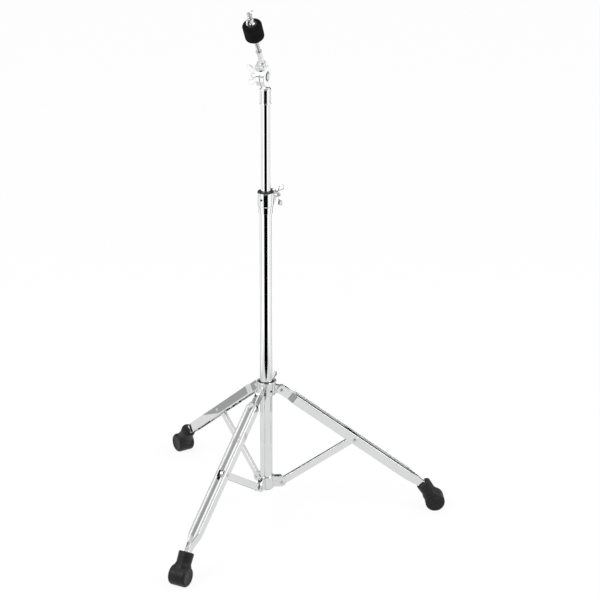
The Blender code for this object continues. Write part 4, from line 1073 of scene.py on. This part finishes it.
STRIP = leg_strip()
MIRRORED_STRIP = placed(STRIP, Matrix.Scale(-1, 4, (0, 1, 0)))
STAY = stay_bar()
SPOOL = spool()
COLLAR_PIN = along_y(plug(0.0020, -NARROW_WEB, NARROW_WEB, 0))
STAY_PIN = along_y(plug(0.0020, -WIDE_WEB, WIDE_WEB, 0))
EAR_OUTER = EAR_INNER + EAR_THICKNESS
for leg in LEGS:
    place = leg_frame(leg)
    body = f"leg_{leg}"
    dress(f"leg_{leg}_channel_left", placed(STRIP, place), "chrome", body, f"leg_{leg}_strip_left")
    dress(f"leg_{leg}_channel_right", placed(MIRRORED_STRIP, place), "chrome", body, f"leg_{leg}_strip_right")
    spot = place @ Matrix.Translation((LEG_UPPER, 0, 0))
    dress(f"leg_{leg}_stay_spool", placed(SPOOL, spot), "black_nylon", body, f"leg_{leg}_spool")
    rivets = heads([((0, NARROW_WEB, 0), (0, 1, 0)), ((0, -NARROW_WEB, 0), (0, -1, 0)),
                    ((LEG_UPPER, WIDE_WEB, 0), (0, 1, 0)), ((LEG_UPPER, -WIDE_WEB, 0), (0, -1, 0))])
    dress(f"leg_{leg}_rivet_heads", placed(rivets, place), "zinc_steel", body)
    dress(f"leg_{leg}_collar_pin", placed(COLLAR_PIN, place), "zinc_steel", body, f"leg_{leg}_collar_rivet")
    dress(f"leg_{leg}_stay_pin", placed(STAY_PIN, spot), "zinc_steel", body, f"leg_{leg}_stay_rivet")
    dress(f"stay_{leg}_channel", placed(STAY, stay_frame(leg)), "chrome", f"stay_{leg}_bar", f"stay_{leg}")
    ears = post_frame(LOWER_HEIGHT, heading_of(leg))
    stubs = heads([((PIVOT_RADIUS, EAR_OUTER, 0), (0, 1, 0)), ((PIVOT_RADIUS, -EAR_OUTER, 0), (0, -1, 0))])
    dress(f"stay_{leg}_ear_rivets", placed(stubs, ears), "zinc_steel", "base",
          f"stay_rivet_{leg}_left", f"stay_rivet_{leg}_right")
print("legs done, hinge to stay", round(LEG_UPPER, 4))

# %% [markdown]
# The rubber feet. A smooth barrel lies across the leg's end with a sleeve up to the leg. Its ends are
# dished a little, its rims are round, and it has a small flat where it stands.

# %% Feet
FOOT_HALF = 0.018
FOOT_EDGE = 0.005
BOOT_ANGLE = math.radians(57)
BOOT_RADIUS = 0.0145
BOOT_MOUTH = 0.0152
BOOT_LENGTH = 0.046
BOOT_REACH = 0.0378
DISH_RADIUS = 0.0125
DISH_DEPTH = 0.0006


def barrel_profile():
    """The barrel from one end's middle to the other's."""
    low_edge = arc((FOOT_RADIUS - FOOT_EDGE, -FOOT_HALF + FOOT_EDGE), FOOT_EDGE, -90, 0, 10)
    high_edge = arc((FOOT_RADIUS - FOOT_EDGE, FOOT_HALF - FOOT_EDGE), FOOT_EDGE, 0, 90, 10)
    low_dish = [(0, -FOOT_HALF + DISH_DEPTH), (DISH_RADIUS - 0.001, -FOOT_HALF + DISH_DEPTH), (DISH_RADIUS, -FOOT_HALF)]
    high_dish = [(r, -z) for r, z in reversed(low_dish)]
    return [*low_dish, *low_edge, *high_edge, *high_dish]


def foot():
    """The moulded foot in its own frame."""
    barrel = along_y(lathe(barrel_profile(), ROUND, closed=False))
    profile = [(0, 0.004), (BOOT_RADIUS + 0.0035, 0.004), (BOOT_RADIUS + 0.0022, 0.0190), (BOOT_RADIUS, 0.0235),
               (BOOT_MOUTH, BOOT_LENGTH), (0, BOOT_LENGTH)]
    profile = softened(profile, 0.0038, closed=False, steps=8)
    sleeve = placed(lathe(profile, ROUND, closed=False), Matrix.Rotation(BOOT_ANGLE - math.pi / 2, 4, "Y"))
    wide = 0.1
    sole = brick((-wide, -wide, -wide), (wide, wide, -FOOT_AXIS_HEIGHT), 0)
    upright = math.atan2(-LEG_DIRECTION.z, LEG_DIRECTION.x)
    mouth = brick((-0.05, -NARROW_WEB - FIT, -STRIP_END_HALF - FIT), (FIT, NARROW_WEB + FIT, STRIP_END_HALF + FIT), 0)
    axis = Vector((-math.cos(BOOT_ANGLE), 0, math.sin(BOOT_ANGLE)))
    mouth = placed(mouth, Matrix.Translation(axis * BOOT_REACH) @ Matrix.Rotation(upright, 4, "Y"))
    return cut(joined(barrel, sleeve), sole, mouth)


LEG_DIRECTION = leg_frame("b").col[0].to_3d()
FOOT = foot()
for leg in LEGS:
    dress(f"leg_{leg}_rubber_foot", placed(FOOT, foot_frame(leg)), "black_rubber", f"leg_{leg}", f"leg_{leg}_foot")
print("feet done, polygons", len(FOOT.polygons))

# %% [markdown]
# The tilter: two die-cast discs whose faces carry radial teeth, one on a ferrule over the mast and
# one with a socket for the rod. A bolt with a sunk hexagon head and a wing nut press them together.

# %% Tilter
DISC_RADIUS = 0.0205
BASE_FRONT = 0.0043
TOOTH_FACE = -0.0037
ARM_FRONT = -0.0041
ARM_BACK = -0.0126
FERRULE_RADIUS = 0.0113
FERRULE_BOTTOM = -0.053
FERRULE_SHOULDER = -0.0245
NECK_HALF = 0.0085
RECESS_RADIUS = 0.0098
RECESS_DEPTH = 0.0035
POCKET_RADIUS = 0.0056
POCKET_DEPTH = 0.0030
SOCKET_RADIUS = 0.0075
SOCKET_TOP = 0.0370
SOCKET_FLOOR = 0.0265
ARM_BLOCK_BOTTOM = 0.0225
ARM_BLOCK_TOP = 0.0310
ROD_RADIUS = 0.0040
TOOTH_HEIGHT = 0.00035
TOOTH_COUNT = 48


def toothed_disc(low, high):
    """A disc across the pivot, with rolled rims."""
    profile = [(0, low), (DISC_RADIUS, low), (DISC_RADIUS, high), (0, high)]
    return along_y(lathe(softened(profile, 0.0011, closed=False, steps=4), ROUND, closed=False))


def ferrule():
    """The part of the casting that goes over the mast, with a bead at its mouth."""
    low = FERRULE_BOTTOM
    profile = [(0, low), (FERRULE_RADIUS + 0.0004, low), (FERRULE_RADIUS + 0.0004, low + 0.0016),
               (FERRULE_RADIUS, low + 0.0021), (FERRULE_RADIUS, FERRULE_SHOULDER),
               (FERRULE_RADIUS * 0.86, FERRULE_SHOULDER + 0.0022), (FERRULE_RADIUS * 0.5, FERRULE_SHOULDER + 0.0034),
               (0, FERRULE_SHOULDER + 0.0034)]
    return lathe(softened(profile, 0.0006, closed=False, steps=4), ROUND, closed=False)


def tilter_base():
    """The fixed casting."""
    neck = brick((-NECK_HALF, TOOTH_FACE + 0.0002, FERRULE_SHOULDER - 0.0015), (NECK_HALF, BASE_FRONT - 0.0002, -0.0143),
                 0.0008)
    bore = plug(MAST_RADIUS + FIT, FERRULE_BOTTOM - 0.004, FERRULE_BOTTOM + 0.027, 0, ROUND)
    recess = along_y(plug(RECESS_RADIUS, BASE_FRONT - RECESS_DEPTH, BASE_FRONT + 0.004, 0, ROUND))
    hole = along_y(plug(BOLT_RADIUS + FIT, -0.02, 0.02, 0))
    pocket = along_y(plug(POCKET_RADIUS, TOOTH_FACE - 0.004, TOOTH_FACE + POCKET_DEPTH, 0))
    return cut(joined(ferrule(), toothed_disc(TOOTH_FACE, BASE_FRONT), neck), bore, recess, hole, pocket)


def tilter_arm():
    """The casting that carries the rod."""
    web = brick((-NECK_HALF, ARM_BACK + 0.0002, 0.0123), (NECK_HALF, ARM_FRONT - 0.0002, ARM_BLOCK_TOP), 0.0008)
    bridge = brick((0.0002 - NECK_HALF, ARM_BACK + 0.001, ARM_BLOCK_BOTTOM),
                   (NECK_HALF - 0.0002, SOCKET_RADIUS - 0.001, ARM_BLOCK_TOP - 0.0002), 0.0008)
    profile = [(0, ARM_BLOCK_BOTTOM + 0.001), (SOCKET_RADIUS, ARM_BLOCK_BOTTOM + 0.001), (SOCKET_RADIUS, SOCKET_TOP),
               (0, SOCKET_TOP)]
    socket = lathe(softened(profile, 0.001, closed=False, steps=4), ROUND, closed=False)
    bore = plug(ROD_RADIUS + FIT, SOCKET_FLOOR, SOCKET_TOP + 0.004, 0)
    hole = along_y(plug(BOLT_RADIUS + FIT, -0.02, 0.02, 0))
    pocket = along_y(plug(POCKET_RADIUS, ARM_FRONT - POCKET_DEPTH, ARM_FRONT + 0.004, 0))
    return cut(joined(toothed_disc(ARM_BACK, ARM_FRONT), web, bridge, socket), bore, hole, pocket)


def face_teeth(level):
    """A ring of teeth on a disc's face."""
    ring = grown(TEETH, "cast", Count=TOOTH_COUNT, Inner=0.0085, Outer=DISC_RADIUS - 0.0004, Height=TOOTH_HEIGHT)
    return along_y(ring, (0, level, 0))


def hexagon_bolt():
    """The pivot bolt along +Y: a hexagon head in the recess and a shank out through the nut."""
    seat = BASE_FRONT - RECESS_DEPTH + FIT
    head = lathe(softened([(0, seat), (0.0072, seat), (0.0072, seat + 0.0043), (0, seat + 0.0043)], 0.0004,
                          closed=False), 6, closed=False)
    end = ARM_BACK - FIT - HUB_HEIGHT - 0.003
    shank = plug(BOLT_RADIUS - 0.0003, end, seat + 0.002, 0.0003)
    return along_y(joined(head, shank)), along_y(thread("zinc_steel", BOLT_RADIUS, end + 0.0004, ARM_BACK, 0.001, 0.0003))


dress("tilter_ferrule_casting", placed(tilter_base(), TILTER), "cast", "mast", "tilter_base")
dress("tilter_socket_casting", placed(tilter_arm(), ARM), "cast", "arm", "tilter_arm")
dress("ferrule_face_teeth", placed(face_teeth(TOOTH_FACE), TILTER), "cast", "mast")
dress("socket_face_teeth", placed(face_teeth(ARM_FRONT), ARM), "cast", "arm")
bolt, ridge = hexagon_bolt()
dress("tilter_hexagon_bolt", placed(bolt, TILTER), "zinc_steel", "mast", "tilter_bolt")
dress("tilter_bolt_thread", placed(ridge, TILTER), "zinc_steel", "mast")
SPRING_WIRE = 0.0005
spring_low = ARM_FRONT - POCKET_DEPTH + FIT + SPRING_WIRE
spring_high = TOOTH_FACE + POCKET_DEPTH - FIT - SPRING_WIRE
coil = grown(HELIX, "zinc_steel", Radius=0.0043, Length=spring_high - spring_low,
             Pitch=(spring_high - spring_low) / 4, Section=SPRING_WIRE, Sides=12)
dress("tilter_coil_spring", placed(along_y(coil, (0, spring_low, 0)), TILTER), "zinc_steel", "mast", "pivot_spring")
TILTER_NUT_TURN = 80
nut_place = TILTER @ Matrix.Translation((0, ARM_BACK - FIT, 0)) @ Matrix.Rotation(math.pi / 2, 4, "X")
nut_place = nut_place @ Matrix.Rotation(math.radians(TILTER_NUT_TURN), 4, "Z")
dress("tilter_butterfly_nut", placed(wing_nut(WING_SPAN, 0.0235, BOLT_RADIUS + FIT), nut_place), "cast",
      "tilter_nut", "tilter_wing_nut")
print("tilter done, teeth", TOOTH_COUNT)

# %% [markdown]
# The rod and what it carries. The rod is threaded from its sleeve to its tip. The felts are pressed
# wool: they swell between the washers, their edges are soft, and no two are quite round.

# %% Rod, washers and felts
ROD_TOP = 0.160
SLEEVE_TOP = 0.065
FELT_BOTTOM = 0.099
FELT_RADIUS = 0.0185
FELT_THICKNESS = 0.0165
FELT_BORE = 0.0061
SEAT_NUT_RADIUS = 0.0075
CUP_TOP = FELT_BOTTOM - FIT
CUP_BOTTOM = CUP_TOP - 0.0020
NUT_HEIGHT = 0.0065
WASHER_LOW = FELT_BOTTOM + 2 * FELT_THICKNESS + 2 * FIT
WASHER_HIGH = WASHER_LOW + 0.0012
FELT_LUMP = 0.00022


def arm_piece(name, mesh, finish, body, *nodes):
    """A piece that was drawn along the rod."""
    return dress(name, placed(mesh, ARM), finish, body, *nodes)


def felt_pad(low, lower_edge, upper_edge, seed):
    """A felt washer: a soft turned ring, pushed about a little by noise."""
    high = low + FELT_THICKNESS
    outline = [(FELT_BORE, low), (FELT_RADIUS, low), (FELT_RADIUS, high), (FELT_BORE, high)]
    corners = [softened(outline, edge, steps=10) for edge in (0.0005, lower_edge, upper_edge)]
    count = len(corners[0]) // 4
    profile = (corners[0][:count] + corners[1][count:2 * count] + corners[2][2 * count:3 * count]
               + corners[0][3 * count:])
    dense = []
    for start, end in zip(profile, profile[1:] + profile[:1]):
        parts = max(1, round(math.dist(start, end) / 0.0008))
        for step in range(parts):
            dense.append((start[0] + (end[0] - start[0]) * step / parts, start[1] + (end[1] - start[1]) * step / parts))
    mesh = lathe(dense, ROUND)
    for vertex in mesh.vertices:
        radius = math.hypot(vertex.co.x, vertex.co.y)
        if radius > FELT_BORE + 0.001:
            lump = noise.noise(vertex.co * 260 + Vector((seed, 0, 0))) + 0.5 * noise.noise(vertex.co * 900)
            push = FELT_LUMP * (lump - 1.0)
            vertex.co.x += vertex.co.x / radius * push
            vertex.co.y += vertex.co.y / radius * push
    return mesh


def hexagon_nut(low):
    """A hexagon nut with chamfered corners."""
    high = low + NUT_HEIGHT
    body = lathe([(0, low), (SEAT_NUT_RADIUS, low), (SEAT_NUT_RADIUS, high), (0, high)], 6, closed=False)
    chamfer = lathe(softened([(0, low), (SEAT_NUT_RADIUS * 0.99, low), (SEAT_NUT_RADIUS * 0.99, high), (0, high)],
                             0.0011, closed=False), ROUND, closed=False)
    body = combined(body, chamfer, "INTERSECT")
    return cut(body, plug(ROD_RADIUS + FIT, low - 0.001, high + 0.001, 0))


core = plug(ROD_RADIUS - 0.0005, SOCKET_FLOOR + FIT, ROD_TOP, 0.0008)
smooth_end = plug(ROD_RADIUS, SOCKET_FLOOR + FIT, SLEEVE_TOP, 0.0003)
arm_piece("rod_core", joined(core, smooth_end), "zinc_steel", "arm", "cymbal_rod")
arm_piece("rod_thread", thread("zinc_steel", ROD_RADIUS, SLEEVE_TOP, ROD_TOP - 0.0012, 0.00125, 0.0005), "zinc_steel",
          "arm")
inner = ROD_RADIUS + FIT
sleeve = lathe(softened([
    (inner, SOCKET_TOP + FIT), (0.0053, SOCKET_TOP + FIT), (0.0053, SLEEVE_TOP - 0.0020),
    (0.0064, SLEEVE_TOP - 0.0020), (0.0064, SLEEVE_TOP), (inner, SLEEVE_TOP)], 0.0004), ROUND)
arm_piece("rod_sleeve_tube", sleeve, "chrome", "arm", "rod_sleeve")
arm_piece("felt_seat_nut", hexagon_nut(CUP_BOTTOM - FIT - NUT_HEIGHT), "zinc_steel", "arm", "seat_nut")
arm_piece("felt_cup", washer(inner, 0.0135, CUP_BOTTOM, CUP_TOP, 0.0007), "black_steel", "arm", "cup_washer")
lower_pad = arm_piece("lower_felt_pad", felt_pad(FELT_BOTTOM, 0.0062, 0.0004, 1.0), "black_felt", "arm", "lower_felt")
upper_pad = arm_piece("upper_felt_pad", felt_pad(FELT_BOTTOM + FELT_THICKNESS + FIT, 0.0004, 0.0032, 7.0),
                      "black_felt", "arm", "upper_felt")
arm_piece("top_washer", washer(inner, 0.0095, WASHER_LOW, WASHER_HIGH, 0.0004), "black_steel", "washer", "nut_washer")
top_nut = placed(wing_nut(0.036, 0.0195, ROD_RADIUS + FIT), Matrix.Translation((0, 0, WASHER_HIGH + FIT)))
arm_piece("top_butterfly_nut", top_nut, "cast", "top_nut", "top_wing_nut")
for node, finish in (("guide_bush", "black_nylon"), ("cymbal_sleeve", "black_nylon")):
    frame["nodes"][node].data.materials.clear()
    frame["nodes"][node].data.materials.append(FINISHES[finish])
for leg in LEGS:
    frame["nodes"][f"leg_{leg}_end_block"].data.materials.clear()
    frame["nodes"][f"leg_{leg}_end_block"].data.materials.append(FINISHES["zinc_steel"])
print("rod dressed")

# %% [markdown]
# The studio. A white floor and a white world light the stand evenly. Chrome only looks like chrome
# if it has something dark to mirror: one dark band and two faint ones. Cards on the floor paint these
# in as painted reflections: each glows with a painted shade, and only reflections see them. A pale
# grey one paints the floor near the stand greyer in reflections.

# %% Studio
FLOOR_SIZE = 40
CARD_LEVEL = 0.002
CARD_FAR = 7.0
NEAR_FLOOR = 0.72


def white_when_seen(material, seen_strength, mirrored_strength, share):
    """Mix a plain diffuse white with light that only cameras and reflections see."""
    tree = material.node_tree
    tree.nodes.clear()
    diffuse = tree.nodes.new("ShaderNodeBsdfDiffuse")
    diffuse.inputs["Color"].default_value = (0.9, 0.9, 0.9, 1)
    path = tree.nodes.new("ShaderNodeLightPath")
    mirrored = path.outputs["Is Glossy Ray"]
    seen = maths(tree, "MAXIMUM", path.outputs["Is Camera Ray"], mirrored)
    seen = maths(tree, "MAXIMUM", seen, path.outputs["Is Transmission Ray"])
    extra = maths(tree, "MULTIPLY", mirrored, mirrored_strength - seen_strength)
    glow = tree.nodes.new("ShaderNodeEmission")
    tree.links.new(maths(tree, "ADD", extra, seen_strength), glow.inputs["Strength"])
    mix = tree.nodes.new("ShaderNodeMixShader")
    tree.links.new(maths(tree, "MULTIPLY", seen, share), mix.inputs["Fac"])
    tree.links.new(diffuse.outputs["BSDF"], mix.inputs[1])
    tree.links.new(glow.outputs["Emission"], mix.inputs[2])
    out = tree.nodes.new("ShaderNodeOutputMaterial")
    tree.links.new(mix.outputs["Shader"], out.inputs["Surface"])


def flat(name, corners, level, material):
    """A flat sheet through corner points."""
    mesh = bpy.data.meshes.new(name)
    mesh.from_pydata([(x, y, level) for x, y in corners], [], [tuple(range(len(corners)))])
    mesh.materials.append(material)
    obj = bpy.data.objects.new(name, mesh)
    bpy.context.scene.collection.objects.link(obj)
    return obj


def card(name, corners, shade, level=CARD_LEVEL):
    """A sheet on the floor that glows with a painted shade, seen only in reflections: a painted reflection."""
    material = bpy.data.materials.new(name)
    material.use_nodes = True
    tree = material.node_tree
    tree.nodes.clear()
    glow = tree.nodes.new("ShaderNodeEmission")
    glow.inputs["Color"].default_value = (shade, shade, shade, 1)
    out = tree.nodes.new("ShaderNodeOutputMaterial")
    tree.links.new(glow.outputs["Emission"], out.inputs["Surface"])
    obj = flat(name, corners, level, material)
    for ray in ("camera", "diffuse", "transmission", "volume_scatter", "shadow"):
        setattr(obj, f"visible_{ray}", False)


def wedge(azimuth, half_angle, near, far=CARD_FAR):
    """The corners of a wedge on the floor about the post. Azimuth 0 is towards the camera."""
    corners = []
    for radius, side in ((near, -1), (far, -1), (far, 1), (near, 1)):
        a = math.radians(azimuth + CAMERA_AZIMUTH - 90 + side * half_angle)
        corners.append((POST.x + radius * math.cos(a), POST.y + radius * math.sin(a)))
    return corners


def ranged(tree, value, low, high, start, end):
    """A socket that runs from start to end while a value runs from low to high."""
    node = tree.nodes.new("ShaderNodeMapRange")
    for label, number in (("From Min", low), ("From Max", high), ("To Min", start), ("To Max", end)):
        node.inputs[label].default_value = number
    tree.links.new(value, node.inputs["Value"])
    return node.outputs["Result"]


def studio_world():
    """White to the camera, even light, and in reflections a bright band between dark walls."""
    world = bpy.data.worlds.new("studio")
    bpy.context.scene.world = world
    world.use_nodes = True
    tree = world.node_tree
    tree.nodes.clear()
    place = tree.nodes.new("ShaderNodeTexCoord")
    split = tree.nodes.new("ShaderNodeSeparateXYZ")
    tree.links.new(place.outputs["Generated"], split.inputs[0])
    roof = ranged(tree, split.outputs["Z"], 0.45, 0.85, 1.1, 0.72)
    front = ranged(tree, split.outputs["Y"], -0.15, -0.6, 0.0, 0.66)
    behind = ranged(tree, split.outputs["Y"], 0.2, 0.55, 0.0, 0.95)
    low = ranged(tree, split.outputs["Z"], 0.36, 0.56, 1.0, 0.0)
    wall = maths(tree, "SUBTRACT", 1.0, maths(tree, "MAXIMUM", front, maths(tree, "MULTIPLY", behind, low)))
    mirrored = tree.nodes.new("ShaderNodeBackground")
    tree.links.new(maths(tree, "MULTIPLY", roof, wall), mirrored.inputs["Strength"])
    seen = tree.nodes.new("ShaderNodeBackground")
    even = tree.nodes.new("ShaderNodeBackground")
    even.inputs["Strength"].default_value = 0.78
    for node in (mirrored, seen, even):
        node.inputs["Color"].default_value = (1, 1, 1, 1)
    path = tree.nodes.new("ShaderNodeLightPath")
    first = tree.nodes.new("ShaderNodeMixShader")
    second = tree.nodes.new("ShaderNodeMixShader")
    tree.links.new(path.outputs["Is Glossy Ray"], first.inputs["Fac"])
    tree.links.new(even.outputs["Background"], first.inputs[1])
    tree.links.new(mirrored.outputs["Background"], first.inputs[2])
    tree.links.new(path.outputs["Is Camera Ray"], second.inputs["Fac"])
    tree.links.new(first.outputs["Shader"], second.inputs[1])
    tree.links.new(seen.outputs["Background"], second.inputs[2])
    out = tree.nodes.new("ShaderNodeOutputWorld")
    tree.links.new(second.outputs["Shader"], out.inputs["Surface"])


def softbox(name, place, size, power):
    """A large area lamp that faces the stand's middle."""
    data = bpy.data.lights.new(name, "AREA")
    data.size = size
    data.energy = power
    lamp = bpy.data.objects.new(name, data)
    lamp.location = place
    lamp.rotation_euler = (Vector((POST.x, POST.y, 0.5)) - Vector(place)).to_track_quat("-Z", "Y").to_euler()
    bpy.context.scene.collection.objects.link(lamp)


def square(half, centre=(0, 0)):
    """The corners of a square about a point on the floor."""
    x, y = centre
    return [(x - half, y - half), (x + half, y - half), (x + half, y + half), (x - half, y + half)]


floor_material = bpy.data.materials.new("white_floor")
floor_material.use_nodes = True
white_when_seen(floor_material, 1.03, 1.2, 0.85)
flat("studio_floor", square(FLOOR_SIZE / 2), 0.0, floor_material)
# Painted reflections: sheets that glow with a painted shade and are seen only in reflections. They are a pale grey
# patch near the stand, dark bands and grey stripes.
card("painted_reflection_pale_near", square(NEAR_FLOOR, (POST.x, POST.y)), 0.80, CARD_LEVEL / 2)
card("painted_reflection_dark_front", wedge(0, 30, 0.80), 0.0)
card("painted_reflection_dark_collar", wedge(-14, 16, 0.602, 0.665), 0.0)
card("painted_reflection_grey_right", wedge(80, 4, 0.5), 0.25)
card("painted_reflection_grey_left", wedge(-82, 4, 0.5), 0.30)
card("painted_reflection_grey_far_right", wedge(122, 8, 0.5), 0.34)
card("painted_reflection_grey_far_left", wedge(-125, 8, 0.5), 0.38)
studio_world()
softbox("softbox_left", (-2.2, -1.6, 2.4), 1.6, 26)
softbox("softbox_right", (2.4, -1.2, 2.0), 1.4, 16)
print("studio ready")
